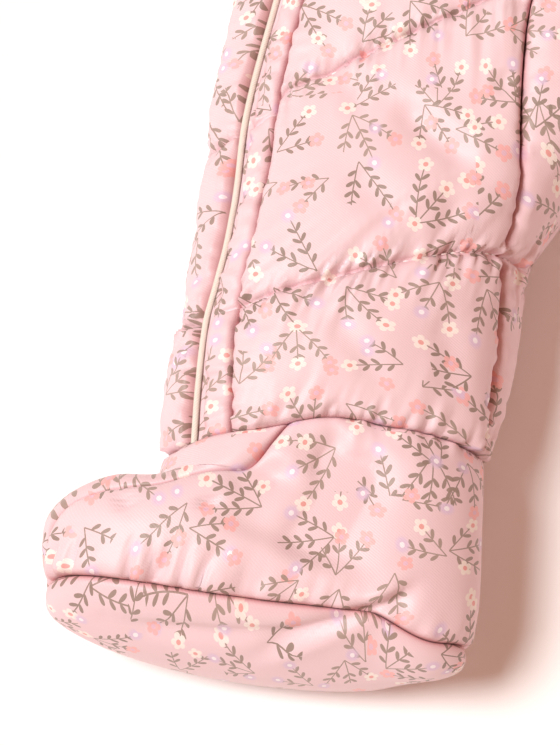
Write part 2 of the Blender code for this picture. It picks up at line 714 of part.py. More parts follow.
def hood_ring(row):
    c = read(HOOD, HOOD_COLUMNS, row)
    closing = dome(HOOD[-1][0] - row, HOOD_CLOSING)
    halves = []
    for power, height, end_y in (
        (FRONT_POWER, c["top"] - c["side_z"], c["front_y"]),
        (BACK_POWER, FLOOR - c["side_z"], c["back_y"]),
    ):
        angle = np.linspace(0, math.pi / 2, 81)
        w = c["side_w"] * np.abs(np.sin(angle)) ** (2 / power)
        rise = np.abs(np.cos(angle)) ** (2 / power)
        y = c["side_y"] + (end_y - c["side_y"]) * rise
        halves.append(np.stack([w, y, c["side_z"] + height * rise * closing], axis=1))
    return np.concatenate([halves[0], halves[1][::-1][1:]])


def neck_ring():
    """The body's neck edge, from the centre front round the side of the neck to the centre back."""
    over, over_normals = front.points[0], front.normals[0]
    under, under_normals = back.points[0], back.normals[0]
    inside_front = over[:, 0] <= NECK_HALF
    inside_back = under[:, 0] <= NECK_HALF
    points = np.concatenate([over[inside_front], under[inside_back]])
    normals = np.concatenate([over_normals[inside_front], under_normals[inside_back]])
    return points, normals


def hood_surface(count=97):
    neck, neck_normals = neck_ring()
    along = lengths(neck)
    wanted = np.linspace(0, along[-1], count)
    base = np.stack([np.interp(wanted, along, neck[:, k]) for k in range(3)], axis=1)
    base_normals = np.stack([np.interp(wanted, along, neck_normals[:, k]) for k in range(3)], axis=1)
    rows = np.linspace(0, HOOD[-1][0], 85)
    rings = []
    for row in rows:
        share = np.clip(row, 0, 1)
        eased = share * share * (3 - 2 * share)
        ring = spread(hood_ring(row), count)
        advance = ring - spread(hood_ring(0.0), count)
        rings.append((base + advance) * (1 - eased) + ring * eased)
    surface = Surface(rows, np.stack(rings))
    surface.normals *= -1
    for end in (0, -1):
        surface.normals[:, end, 0] = 0
    surface.normals = unit(surface.normals)
    surface.normals[0] = unit(base_normals)
    half = (count - 1) // 2
    outwards = unit(surface.points[-1, :, :1] * [[1.0, 0.0, 0.0]] + [[0.0, 40.0, 0.0]])
    surface.normals[-1] = outwards
    surface.points[-1, half + 1 :] = surface.points[-1, :half][::-1]
    return surface


def hood_opening(surface, rows):
    """How far across each row the face opening, or past it the centre strip, ends."""
    data = np.array(HOOD, float)
    wanted = curve(data[:, 0], data[:, HOOD_COLUMNS.index("opening")], rows)
    found = []
    for row, w in zip(rows, wanted):
        line = surface.read(np.full(97, row), np.linspace(0, 1, 97))[0]
        front_part = line[: 1 + int(np.argmax(line[:, 0]))]
        found.append(float(np.interp(w, front_part[:, 0], lengths(front_part))))
    return np.array(found)


def hood_panel(piece, surface, side, rows, start, end, columns, thin_at):
    across = even(start, end, columns)
    points, normals = surface.read(rows[:, None], across / surface.width(rows)[:, None])
    from_line = np.min(np.abs(rows[:, None] - np.array(HOOD_LINES)[None, :]), axis=1) * 33.0
    left, right = thin_at
    from_seam = np.minimum(across - left[:, None], right[:, None] - across)
    thick = padding(from_line[:, None], np.maximum(from_seam, 0))
    inner, outer = trim_hood(points), trim_hood(points + normals * thick[..., None])
    piece.add(placed(inner, side), placed(outer, side))


def make_hood(cloth):
    surface = hood_surface()
    half_gap = SEAM_GAP / 2
    marks = [0.0, 0.35, 1.0, 1.65, 2.0, 2.35, 3.0, 3.65, 4.0, 4.35, HOOD_OPENING_END, 5.6]
    rows = np.array(marks + [HOOD_CAP_ROW - SEAM_GAP / 22])
    width = surface.width(rows)
    opening = hood_opening(surface, rows)
    strip = width - HOOD_STRIP
    for name, sign in (("right", -1), ("left", 1)):
        side = Piece(f"hood_{name}")
        start = opening + half_gap * (rows > 0.1)
        hood_panel(side, surface, sign, rows, start, strip - half_gap, 8, (start, strip - half_gap))
        side.make(cloth)
    centre = Piece("hood_centre")
    past = np.array([HOOD_OPENING_END, 5.6, HOOD_CAP_ROW])
    back_rows = np.append(rows[:-1], HOOD_CAP_ROW)
    back_width = surface.width(back_rows)
    cap = np.array([HOOD_CAP_ROW, 6.3, 6.65, 6.9, HOOD[-1][0]])
    cap_width = surface.width(cap)
    first_front = hood_opening(surface, cap[:1])[0] - half_gap
    first_back = cap_width[0] - HOOD_STRIP + half_gap
    cap_front = np.concatenate([[first_front], cap_width[1:] * [0.33, 0.35, 0.38, 0.40]])
    cap_back = np.concatenate([[first_back], cap_width[1:] * [0.67, 0.65, 0.62, 0.60]])
    far = np.full(len(cap), FAR)
    for sign in (-1, 1):
        edge = hood_opening(surface, past) - half_gap
        zero = np.zeros(len(past))
        hood_panel(centre, surface, sign, past, zero, edge, 2, (zero - FAR, edge))
        start = back_width - HOOD_STRIP + half_gap
        hood_panel(centre, surface, sign, back_rows, start, back_width, 2, (start, back_width + FAR))
        hood_panel(centre, surface, sign, cap, 0 * far, cap_front, 2, (-far, far))
        hood_panel(centre, surface, sign, cap, cap_front, cap_back, 8, (-far, far))
        hood_panel(centre, surface, sign, cap, cap_back, cap_width, 2, (-far, far))
    centre.make(cloth)


# ---------------------------------------------------------------------------------------------- the booties


def foot_ring(ring, count):
    """A closed ring round the bootie: from the heel over the inner side, which lies on top, to the toe."""
    c = read(FOOT, FOOT_COLUMNS, ring)
    turn = 2 * math.pi * np.linspace(0, 1, 721)
    cosine, sine = np.cos(turn), np.sin(turn)
    power = c["power"]
    v = -np.sign(cosine) * np.abs(cosine) ** (2 / power)
    lift = np.sign(sine) * np.abs(sine) ** (2 / power)
    w = (c["heel_w"] + c["toe_w"]) / 2 + (c["toe_w"] - c["heel_w"]) / 2 * v
    z = (c["top"] + c["low"]) / 2 + (c["top"] - c["low"]) / 2 * lift
    share = (v + 1) / 2
    bend = 4 * share * (1 - share)
    straight = c["heel_y"] + (c["toe_y"] - c["heel_y"]) * share
    y = straight + bend * (c["middle_y"] - (c["heel_y"] + c["toe_y"]) / 2)
    y = y + c["slant"] * (z - (c["top"] + c["low"]) / 2)
    return spread(np.stack([w, y, z], axis=1), count)


def ankle_ring(count):
    """The body's last ring, turned to start at the heel."""
    over, _ = front.read(np.full(121, ANKLE_ROW), np.linspace(0, 1, 121))
    under, _ = back.read(np.full(121, ANKLE_ROW), np.linspace(0, 1, 121))
    return spread(np.concatenate([over, under[1:]]), count)


def foot_surface(count=145):
    rings = np.linspace(0, 4, 65)
    low = ankle_ring(count)
    shape = [foot_ring(ring, count) for ring in rings]
    points = []
    for ring, line in zip(rings, shape):
        share = np.clip(ring, 0, 1)
        eased = share * share * (3 - 2 * share)
        points.append((low + line - shape[0]) * (1 - eased) + line * eased)
    points = np.stack(points)
    lower = np.clip((rings - 2.0) / 2.0, 0, 1)[:, None] ** 1.5
    heel = np.clip((HEEL_END - points[..., 0]) / HEEL_WIDTH, 0, 1)
    high = np.clip((points[..., 2] - 28) / 20, -1, 1)
    points[..., 1] -= lower * heel * heel * (3 - 2 * heel) * (HEEL_DIP + HEEL_TURN * high)
    surface = Surface(rings, points)
    closed = unit(surface.normals[:, 0] + surface.normals[:, -1])
    surface.normals[:, 0] = closed
    surface.normals[:, -1] = closed
    over_normals = front.read(np.full(121, ANKLE_ROW), np.linspace(0, 1, 121))[1]
    if np.sum(surface.normals[0, :60] * over_normals[:60]) < 0:
        surface.normals *= -1
    return surface


def foot_columns(rings, name):
    """Shares across each ring for the columns of one piece."""
    data = np.array(VAMP, float)
    vamp = curve(data[:, 0], data[:, 1], rings)
    gap = SEAM_GAP / 2 / 260
    starts = {"foot_inner": gap + 0 * vamp, "vamp": vamp + gap, "foot_outer": 1 - vamp + gap}
    ends = {"foot_inner": vamp - gap, "vamp": 1 - vamp - gap, "foot_outer": 1 - gap + 0 * vamp}
    return starts[name], ends[name]


def make_feet(cloth):
    surface = foot_surface()
    rings = np.array([0.0, 0.35, 0.85, 1.4, 2.0, 2.6, 3.2, 3.7, 4.0 - SEAM_GAP / 2 / 14])
    widths = surface.width(rings)
    from_end = np.minimum(rings, 4.0 - rings) * 13.0
    for name, count in (("foot_inner", 9), ("vamp", 5), ("foot_outer", 9)):
        start, end = foot_columns(rings, name)
        shares = even(start, end, count)
        points, normals = surface.read(rings[:, None], shares)
        from_seam = np.minimum(shares - start[:, None], end[:, None] - shares) * widths[:, None]
        thick = padding(from_end[:, None] * 1.6, from_seam, thin=3.0, thick=6.6)
        for side, sign in (("right", -1), ("left", 1)):
            piece = Piece(f"{name}_{side}")
            inner, outer = trim_foot(points), trim_foot(points + normals * thick[..., None])
            piece.add(placed(inner, sign), placed(outer, sign))
            piece.make(cloth)
    make_soles(surface, cloth)


def make_soles(surface, cloth):
    """The sole spans the last ring from its upper edge to its lower one, bulging a little outwards."""
    shares = 0.25 - 0.25 * np.cos(math.pi * np.linspace(0, 1, 17))
    last = np.full(len(shares), 4.0)
    upper, upper_normals = surface.read(last, shares)
    lower, lower_normals = surface.read(last, 1 - shares)
    lower[[0, -1]] = upper[[0, -1]]
    lower_normals[[0, -1]] = upper_normals[[0, -1]]
    down = np.array([0.0, -1.0, 0.0])
    round_ends = dome(np.minimum(shares, 0.5 - shares) * surface.width(4.0), 14.0)[:, None]
    inner, outer = [], []
    for share in (0.0, 0.12, 0.5, 0.88, 1.0):
        middle = upper * (1 - share) + lower * share
        swell = 4 * share * (1 - share) * round_ends
        normal = unit(upper_normals * (1 - share) + lower_normals * share) * (1 - swell) * 0.9
        facing = unit(normal + down * (0.35 + swell))
        base = middle + down * (SEAM_GAP * 2.2 + SOLE_BULGE * swell)
        inner.append(base)
        outer.append(base + facing * (3.2 + 2.6 * swell))
    for side, sign in (("right", -1), ("left", 1)):
        piece = Piece(f"sole_{side}")
        piece.add(placed(np.stack(inner), sign), placed(np.stack(outer), sign))
        piece.make(cloth)


for old in list(bpy.data.objects):
    bpy.data.objects.remove(old, do_unlink=True)
collection = bpy.data.collections.new("Baby snowsuit")
bpy.context.scene.collection.children.link(collection)

printed_twill = material("Printed twill", PINK, 0.55)
cream_cord = material("Cream piping", CREAM, 0.6)
zip_band = material("Zip tape", DEEP_PINK, 0.65)

front, back = body_surfaces()
sleeve, sleeve_places, sleeve_start = sleeve_surface()
fit_armhole(sleeve_start)
make_fronts(printed_twill)
make_back(printed_twill)
make_gusset(printed_twill)
make_zip(printed_twill, cream_cord, zip_band)
make_sleeves(sleeve, printed_twill, printed_twill)
make_hood(printed_twill)
make_feet(printed_twill)
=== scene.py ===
import math
from functools import partial

import bpy
import numpy as np
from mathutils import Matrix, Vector


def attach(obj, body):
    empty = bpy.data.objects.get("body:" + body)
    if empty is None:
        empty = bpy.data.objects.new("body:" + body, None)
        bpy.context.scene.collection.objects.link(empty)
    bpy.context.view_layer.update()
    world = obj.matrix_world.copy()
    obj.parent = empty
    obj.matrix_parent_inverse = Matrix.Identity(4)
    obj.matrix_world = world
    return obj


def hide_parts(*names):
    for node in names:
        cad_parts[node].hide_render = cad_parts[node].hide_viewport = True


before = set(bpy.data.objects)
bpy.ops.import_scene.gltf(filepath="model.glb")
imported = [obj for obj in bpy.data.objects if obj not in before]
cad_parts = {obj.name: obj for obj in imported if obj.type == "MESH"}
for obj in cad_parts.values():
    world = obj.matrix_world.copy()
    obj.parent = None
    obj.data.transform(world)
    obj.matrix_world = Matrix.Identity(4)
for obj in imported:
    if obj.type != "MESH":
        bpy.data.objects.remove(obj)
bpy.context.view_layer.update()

# -------------------------------------------------------------------- the garment's shape, in millimetres
# The rings and seams are the CAD's, but for narrower gaps at the seams and the vamp's seam near the sole.

MM = 0.001
MIDDLE_Y = 305.4  # from the ankle seam up to the middle of the garment's length
SEAM_GAP = 0.05  # between neighbouring pieces
HALF_GAP = SEAM_GAP / 2
ROW_LENGTH = 50  # about how far apart two of the body's rows lie
RING_LENGTH = 14  # and two of a foot's rings
SOLE_RING = 4.0  # the foot's last ring
BODY_POINTS = 121  # points across each of the body's surfaces
ARMHOLE_POINTS = 41  # points along each half of an armhole's edge
HOOD_POINTS = 97  # points across the hood's surface
SLEEVE_POINTS = 101  # points round a sleeve's cloth
EDGE_POINTS = 241  # points across the front where the flap's edge is looked for
STITCHED = 3.4  # thickness of the CAD's cloth on a quilted line or a seam
ROUND_ROW = 20.0  # how far from a quilted line the padding reaches its full thickness
ROUND_SEAM = 13.0  # the same from a seam
FLOOR = 6.0  # height of the inside of the back above the surface that the garment lies on
FRONT_POWER = 2.3  # superellipse power of the front walls
BACK_POWER = 4.0  # and of the flatter backs
FLAP_WIDTH = 12.5
PIPING_RADIUS = 1.2
PIPING_SHARE = 0.82  # of that radius, which the cord itself has
TAPE_THICKNESS = 1.1
FLAP_CROWN = 4.6
FLAP_STITCHED = 1.5  # thickness of the flap on its line of stitches
ARMHOLE_ROW = 2.0  # the armpit
NECK_HALF = 58.0
NECK_DIP = 16.0
ANKLE_ROW = 9.0
ANKLE_Y = 2.0
GUSSET_TOP_ROW = 6.75
SPANS = ((0.0, GUSSET_TOP_ROW), (GUSSET_TOP_ROW, ANKLE_ROW))  # above the top of the gusset, and beside it
# The body's rings. side: the outer edge, inner: the centre plane or the inner edge of the leg. top: the
# height of the front. pinch: 0 where the ring is open at the centre, 1 from the crotch down.
BODY_COLUMNS = ("row", "side_w", "side_y", "inner_w", "inner_y", "top", "side_z", "pinch")
BODY = (
    (0.00, 112.0, 466, 0.0, 482, 54, 20, 0.00),
    (1.00, 126.0, 420, 0.0, 446, 58, 22, 0.00),
    (2.00, 155.0, 365, 0.0, 404, 60, 24, 0.00),
    (2.14, 149.5, 359, 0.0, 398, 60, 24, 0.00),
    (2.35, 146.5, 348, 0.0, 388, 60, 24, 0.00),
    (3.00, 145.0, 316, 0.0, 358, 61, 25, 0.00),
    (4.00, 144.0, 260, 0.0, 310, 61, 25, 0.00),
    (5.00, 142.5, 203, 0.0, 262, 60, 26, 0.00),
    (6.00, 146.0, 146, 0.0, 212, 58, 27, 0.12),
    (7.00, 155.5, 91, 0.0, 162, 56, 28, 0.52),
    (7.25, 156.6, 77, 0.0, 140, 56, 28, 0.82),
    (7.42, 157.6, 67, 0.0, 119, 56, 28, 1.00),
    (7.60, 159.0, 57, 34.0, 106, 56, 28, 1.00),
    (7.80, 161.2, 45, 60.0, 85, 56, 28, 1.00),
    (8.00, 163.6, 34, 76.5, 57, 55, 28, 1.00),
    (8.50, 166.2, 18, 82.0, 27, 53, 28, 1.00),
    (9.00, 168.0, 2, 88.0, 2, 51, 28, 1.00),
)
# Where the seams run. zip: straight across from the side edge in to the piped edge of the flap. under: from
# the side edge down to the side seam, along the cloth. gusset_front and gusset_back: from the centre plane or
# the inner edge of the leg, straight across, to the seams of the inner-leg gusset.
SEAM_COLUMNS = ("row", "zip", "under", "gusset_front", "gusset_back")
SEAMS = (
    (0.00, 74.0, 0.0, 14, 14),
    (1.00, 70.0, 0.0, 24, 24),
    (2.00, 74.0, 0.0, 32, 32),
    (2.14, 67.5, 7.0, 32, 32),
    (2.35, 59.0, 7.0, 33, 33),
    (3.00, 43.0, 7.0, 36, 36),
    (4.00, 28.0, 7.0, 38, 38),
    (5.00, 16.0, 7.0, 40, 40),
    (6.00, 8.5, 7.0, 43, 43),
    (6.75, 5.8, 7.0, 54, 50),
    (7.00, 5.2, 7.0, 68, 60),
    (7.25, 4.9, 7.0, 71, 60),
    (7.42, 4.7, 7.0, 72, 58),
    (7.60, 4.3, 7.0, 39, 30),
    (7.80, 3.8, 7.0, 15, 13),
    (8.00, 3.5, 7.0, 4, 7),
    (8.50, 3.8, 7.0, 2.5, 5),
    (9.00, 4.2, 7.0, 1.5, 5),
)
# The sleeve's rings, along its axis from the armhole: half its flat width, and its height.
SLEEVE_COLUMNS = ("along", "half_width", "top")
SLEEVE = (
    (0.0, 47.0, 58),
    (40.0, 42.0, 56),
    (85.0, 36.5, 53),
    (130.0, 31.5, 49),
    (166.0, 27.0, 44),
)
SLEEVE_START = (135.0, 424.0)
SLEEVE_ANGLE = math.radians(-26.0)
SLEEVE_POWERS = (2.3, 2.5)  # superellipse powers of its width and its height
SLEEVE_BLEND = 60.0  # how far along the sleeve it takes its own shape
SLEEVE_LINES = (0.0, 42.0, 84.0, 126.0, 166.0)
CUFF_LENGTH = 18.0
CUFF_THICKNESS = 2.6
CUFF_DRAWN_IN = 1.5
# The hood's rings, from the neck to the top of the head. opening: half the width of the face opening, and
# past its end the edge of the centre strip.
HOOD_COLUMNS = ("row", "front_y", "side_y", "back_y", "side_w", "top", "side_z", "opening")
HOOD = (
    (0.0, 466, 474, 482, 58, 54, 20, 0),
    (1.0, 482, 496, 504, 79, 57, 24, 30),
    (2.0, 510, 528, 538, 91, 60, 27, 48),
    (3.0, 546, 566, 574, 95, 60, 28, 54),
    (4.0, 582, 602, 610, 90, 57, 28, 46),
    (5.0, 612, 633, 640, 74, 51, 28, 25),
    (6.0, 637, 653, 658, 56, 46, 28, 24),
    (7.0, 668, 668, 668, 30, 40, 28, 24),
)
HOOD_OPENING_END = 5.0
HOOD_CAP_ROW = 6.0
HOOD_CLOSING = 1.6  # how many rows it takes the top of the hood to round off
HOOD_STRIP = 26.0  # half the width of the centre strip along the back
HOOD_LINES = (0.0, 2.0, 4.0, 6.0)
# The bootie's rings, from the ankle seam, 0, to the sole seam, 4. slant: how much further down the foot the
# side that lies underneath reaches, for each millimetre of height.
FOOT_COLUMNS = ("ring", "heel_w", "toe_w", "heel_y", "middle_y", "toe_y", "top", "low", "slant", "power")
FOOT = (
    (0.0, 88.0, 168.0, 2, 2, 2, 51, 6, 0.00, 2.5),
    (1.0, 89.0, 171.5, -12, -11, -9, 52, 6, 0.04, 2.4),
    (2.0, 89.5, 188.0, -26, -22, -13, 52, 6, 0.12, 2.3),
    (3.0, 90.0, 202.5, -40, -36, -22, 51, 6, 0.22, 2.3),
    (4.0, 92.0, 204.0, -53, -51, -38, 47, 9, 0.33, 2.4),
)
# The seam between the vamp and each side, as a share of the way round from the heel.
VAMP_COLUMNS = ("ring", "seam")
VAMP = ((0.0, 0.29), (1.0, 0.345), (2.0, 0.40), (3.0, 0.468), (4.0, 0.494))
SOLE_BULGE = 5.0
FAR = 1000.0  # a seam that is nowhere near


def curve(xs, ys, at):
    """A smooth curve through (xs, ys) that doesn't overshoot, read at one or more places."""
    xs = np.asarray(xs, float)
    ys = np.asarray(ys, float)
    step = np.diff(xs)
    slope = np.diff(ys) / step
    tangent = np.zeros(len(xs))
    tangent[0] = slope[0]
    tangent[-1] = slope[-1]
    for i in range(1, len(xs) - 1):
        if slope[i - 1] * slope[i] > 0:
            a = 2 * step[i] + step[i - 1]
            b = step[i] + 2 * step[i - 1]
            tangent[i] = (a + b) / (a / slope[i - 1] + b / slope[i])
    at = np.clip(at, xs[0], xs[-1])
    i = np.clip(np.searchsorted(xs, at, side="right") - 1, 0, len(step) - 1)
    u = (at - xs[i]) / step[i]
    return (
        (1 + 2 * u) * (1 - u) ** 2 * ys[i]
        + u * (1 - u) ** 2 * step[i] * tangent[i]
        + u * u * (3 - 2 * u) * ys[i + 1]
        + u * u * (u - 1) * step[i] * tangent[i + 1]
    )


def read(table, columns, at):
    """A row of a table, at any place between its rows, by the names of its columns."""
    data = np.array(table, float)
    return {name: float(curve(data[:, 0], data[:, i], at)) for i, name in enumerate(columns)}


def read_column(table, columns, name, at):
    """One column of a table, at any places between its rows."""
    data = np.array(table, float)
    return curve(data[:, 0], data[:, columns.index(name)], at)


def lengths(line):
    """How far along a line each of its points lies."""
    return np.concatenate([[0.0], np.cumsum(np.linalg.norm(np.diff(line, axis=0), axis=1))])


def on_line(places, along, line):
    """The line's values at places, where along tells how far on each of its points lies."""
    return np.stack([np.interp(places, along, line[:, k]) for k in range(3)], axis=1)


def spread(line, count):
    """The line again, with count points evenly spaced."""
    along = lengths(line)
    return on_line(np.linspace(0, along[-1], count), along, line)


def smooth(share):
    """0 to 1 with level ends."""
    return share * share * (3 - 2 * share)


def bent(value, power):
    """A sine or cosine turned into that of a superellipse."""
    return np.sign(value) * np.abs(value) ** (2 / power)


def unit(vectors):
    return vectors / np.maximum(np.linalg.norm(vectors, axis=-1, keepdims=True), 1e-9)


def dome(distance, reach):
    """0 at a seam, and rounding up to 1 at reach."""
    share = np.clip(distance / reach, 0.0, 1.0)
    return np.sqrt(1.0 - (1.0 - share) ** 2)


def eased(points, rows):
    """Rings smoothed along the body where the torso parts into legs, away from their ends."""
    share = np.linspace(0, 1, points.shape[1])
    inner = np.clip(share / 0.30, 0, 1)
    outer = np.clip((1 - share) / 0.15, 0, 1)
    much = (smooth(inner) * smooth(outer))[None, :, None]
    steps = np.linspace(-0.36, 0.36, 13)
    weights = np.exp(-((steps / 0.17) ** 2) / 2)
    total = np.zeros(points.shape)
    room = np.clip(np.minimum(rows - 6.0, rows[-1] - rows) / 0.36, 0, 1)
    for step, weight in zip(steps, weights):
        place = np.interp(rows + step * room, rows, np.arange(len(rows)))
        i = np.clip(place.astype(int), 0, len(rows) - 2)
        u = (place - i)[:, None, None]
        total += weight * (points[i] * (1 - u) + points[i + 1] * u)
    return points * (1 - much) + total / weights.sum() * much


class Surface:
    """A grid of points with their outward normals, read at a row and a share of the way across."""

    def __init__(self, rows, points, normals=None):
        self.rows = rows
        self.points = points
        self.widths = np.array([lengths(line)[-1] for line in points])
        self.normals = self.grid_normals() if normals is None else normals

    def grid_normals(self):
        down = np.gradient(self.points, axis=0)
        across = np.gradient(self.points, axis=1)
        return unit(np.cross(down, across))

    def width(self, row):
        return np.interp(row, self.rows, self.widths)

    def close(self):
        """Gives the first and last columns, which meet, the same normals."""
        closed = unit(self.normals[:, 0] + self.normals[:, -1])
        self.normals[:, 0] = closed
        self.normals[:, -1] = closed

    def line(self, row, count=BODY_POINTS):
        """Points and normals evenly spread across a row."""
        return self.read(row, np.linspace(0, 1, count))

    def read(self, row, share):
        """Points and normals at rows and shares that broadcast together."""
        row, share = np.broadcast_arrays(row, share)
        place = np.interp(row, self.rows, np.arange(len(self.rows)))
        across = np.clip(share, 0, 1) * (self.points.shape[1] - 1)
        i = np.clip(place.astype(int), 0, len(self.rows) - 2)
        j = np.clip(across.astype(int), 0, self.points.shape[1] - 2)
        u = (place - i)[..., None]
        v = (across - j)[..., None]
        found = []
        for grid in (self.points, self.normals):
            upper = grid[i, j] * (1 - v) + grid[i, j + 1] * v
            lower = grid[i + 1, j] * (1 - v) + grid[i + 1, j + 1] * v
            found.append(upper * (1 - u) + lower * u)
        return found[0], unit(found[1])


def body_ring(row):
    """One ring of the body as two lines of (w, y, z): the front as far as the side seam, and the back."""
    c = read(BODY, BODY_COLUMNS, row)
    seams = read(SEAMS, SEAM_COLUMNS, row)
    side_cut = 1.0
    if row < ARMHOLE_ROW:
        side_cut = 1.0 - 0.4 * math.sin(math.pi * (ARMHOLE_ROW - row) / ARMHOLE_ROW)
    closing = dome(row, 0.6)
    halves = []
    for power, height in ((FRONT_POWER, c["top"] - c["side_z"]), (BACK_POWER, FLOOR - c["side_z"])):
        start = math.acos(min(round(c["pinch"], 9), 1.0) ** (power / 2))
        end = math.pi - math.acos(side_cut ** (power / 2)) if side_cut < 1 else math.pi
        angle = np.linspace(start, end, 161)
        cosine = np.cos(angle)
        v = -bent(cosine, power)
        across = (v + c["pinch"]) / (side_cut + c["pinch"])
        w = c["inner_w"] + (c["side_w"] - c["inner_w"]) * across
        y = c["inner_y"] + (c["side_y"] - c["inner_y"]) * across
        neck = np.sqrt(np.clip(1 - (w / NECK_HALF) ** 2, 0, 1))
        opened = np.sqrt(1 - (1 - closing**2) * (1 - neck**2))
        z = c["side_z"] + height * np.abs(np.sin(angle)) ** (2 / power) * opened
        if row < 0.5:
            apart = HALF_GAP * np.sign(height)
            z = np.where(np.abs(z - c["side_z"]) < HALF_GAP, c["side_z"] + apart, z)
        if height > 0 and row < 1:
            y = y - NECK_DIP * neck**2 * (1 - row) ** 2
        halves.append(np.stack([w, y, z], axis=1))
    front, back = halves[0], halves[1][::-1]
    if row >= ARMHOLE_ROW and seams["under"] > 0.01:
        along = lengths(back)
        turn = np.searchsorted(along, seams["under"])
        corner = on_line([seams["under"]], along, back)
        front = np.concatenate([front, back[1:turn], corner])
        back = np.concatenate([corner, back[turn:]])
    return front, back


def body_surfaces():
    rows = np.concatenate([np.arange(0, 7, 1 / 12), np.arange(7, ANKLE_ROW + 1e-6, 0.02)])
    rows = np.unique(np.round(np.append(rows, [7.42, ARMHOLE_ROW]), 6))
    rings = [body_ring(row) for row in rows]
    front = Surface(rows, eased(np.stack([spread(ring[0], BODY_POINTS) for ring in rings]), rows))
    back = Surface(rows, np.stack([spread(ring[1], BODY_POINTS) for ring in rings]))
    legs = read_column(BODY, BODY_COLUMNS, "pinch", rows) >= 1 - 1e-9
    torso = rows <= rows[legs][0] + 1e-9
    sides = rows >= ARMHOLE_ROW
    for end, other, which in ((-1, 0, sides), (0, -1, legs)):
        shared = unit(front.normals[which, end] + back.normals[which, other])
        front.normals[which, end] = shared
        back.normals[which, other] = shared
    for surface, end in ((front, 0), (back, -1)):
        surface.normals[torso, end, 0] = 0
        surface.normals[torso, end] = unit(surface.normals[torso, end])
        shoulder = surface.points[0, :, 0] > NECK_HALF
        surface.normals[0, shoulder, 2] = 0
        surface.normals[0] = unit(surface.normals[0])
    return front, back


def neck_line(w, over):
    """The neck's edge in plan, over the front or along the back, and past it the line of the shoulder."""
    rise = np.where(over, NECK_DIP * np.clip(1 - (w / NECK_HALF) ** 2, 0, 1), 0.0)
    straight = BODY[0][4] + (BODY[0][2] - BODY[0][4]) * w / BODY[0][1]
    return straight - rise + STITCHED * np.clip((w - NECK_HALF) / 4.0, 0, 1)


def trim_body(points, over):
    """Keeps the body's cloth half a gap short of the neck, the armhole and the ankle."""
    kept = points.copy()
    kept[..., 1] = np.minimum(kept[..., 1], neck_line(kept[..., 0], over) - HALF_GAP)
    kept[..., 1] = np.maximum(kept[..., 1], ANKLE_Y + HALF_GAP)
    kept[..., 0] = np.minimum(kept[..., 0], armhole_line(kept[..., 1]) - HALF_GAP)
    return kept


def trim_sleeve(points):
    kept = points.copy()
    kept[..., 0] = np.maximum(kept[..., 0], armhole_line(kept[..., 1], -FAR) + HALF_GAP)
    return kept


def trim_hood(points):
    kept = points.copy()
    line = neck_line(kept[..., 0], kept[..., 2] > BODY[0][6])
    kept[..., 1] = np.maximum(kept[..., 1], line + SEAM_GAP)
    return kept


def trim_foot(points):
    kept = points.copy()
    kept[..., 1] = np.minimum(kept[..., 1], ANKLE_Y - HALF_GAP)
    return kept


def placed(points, side):
    """Half-garment points (w, y, z) on the wearer's right, -1, or left, 1."""
    return points * np.array([side, 1.0, 1.0])


def armhole_line(y, beyond=FAR):
    """How far out the armhole lies at each height y in plan, going on past its ends along the normals."""
    edge, _ = armhole()
    plan = edge[:ARMHOLE_POINTS, :2]
    ends = np.stack([sleeve_start[0, :2], sleeve_start[np.argmax(sleeve_start[:, 1]), :2]])
    ends = ends / np.linalg.norm(ends, axis=1, keepdims=True) * 12.0
    line = np.concatenate([[plan[0] + ends[0]], plan, [plan[-1] + ends[1]]])
    return np.where((y > line[0, 1]) & (y < line[-1, 1]), np.interp(y, line[:, 1], line[:, 0]), beyond)


def seam(name, rows):
    return read_column(SEAMS, SEAM_COLUMNS, name, rows)


def outwards(line):
    """The part of a line that runs from the centre out to its widest point."""
    return line[: 1 + int(np.argmax(line[:, 0]))]


def gusset_seam(surface, name, rows):
    """How far along the cloth a gusset seam lies from the ring's centre or inner end."""
    found = []
    shares = np.linspace(0, 1, BODY_POINTS) if surface is front else np.linspace(1, 0, BODY_POINTS)
    data = np.array(SEAMS, float)
    inner_edge = [read(BODY, BODY_COLUMNS, row)["inner_w"] for row in data[:, 0]]
    places = curve(data[:, 0], data[:, SEAM_COLUMNS.index(name)] + inner_edge, rows)
    for row, place in zip(rows, places):
        half = outwards(surface.read(row, shares)[0])
        reached = np.maximum.accumulate(half[:, 0])
        share = np.interp(place, reached, np.linspace(0, 1, BODY_POINTS)[: len(half)])
        found.append(float(share * surface.width(row)))
    return np.array(found)


def piped_edge(rows):
    """How far across the front the flap's free edge lies."""
    found = []
    for row, inwards in zip(rows, seam("zip", rows)):
        half = outwards(front.line(row, EDGE_POINTS)[0])
        share = np.interp(half[-1, 0] - inwards, half[:, 0], np.linspace(0, 1, EDGE_POINTS)[: len(half)])
        found.append(float(share * front.width(row)))
    return np.array(found)


def armhole():
    """The armhole's edge from the armpit over the front to the shoulder and back underneath, with normals."""
    rows = np.linspace(ARMHOLE_ROW, 0, ARMHOLE_POINTS)
    over, over_normals = front.read(rows, 1.0)
    under, under_normals = back.read(rows[::-1], 0.0)
    return np.concatenate([over, under[1:]]), np.concatenate([over_normals, under_normals[1:]])


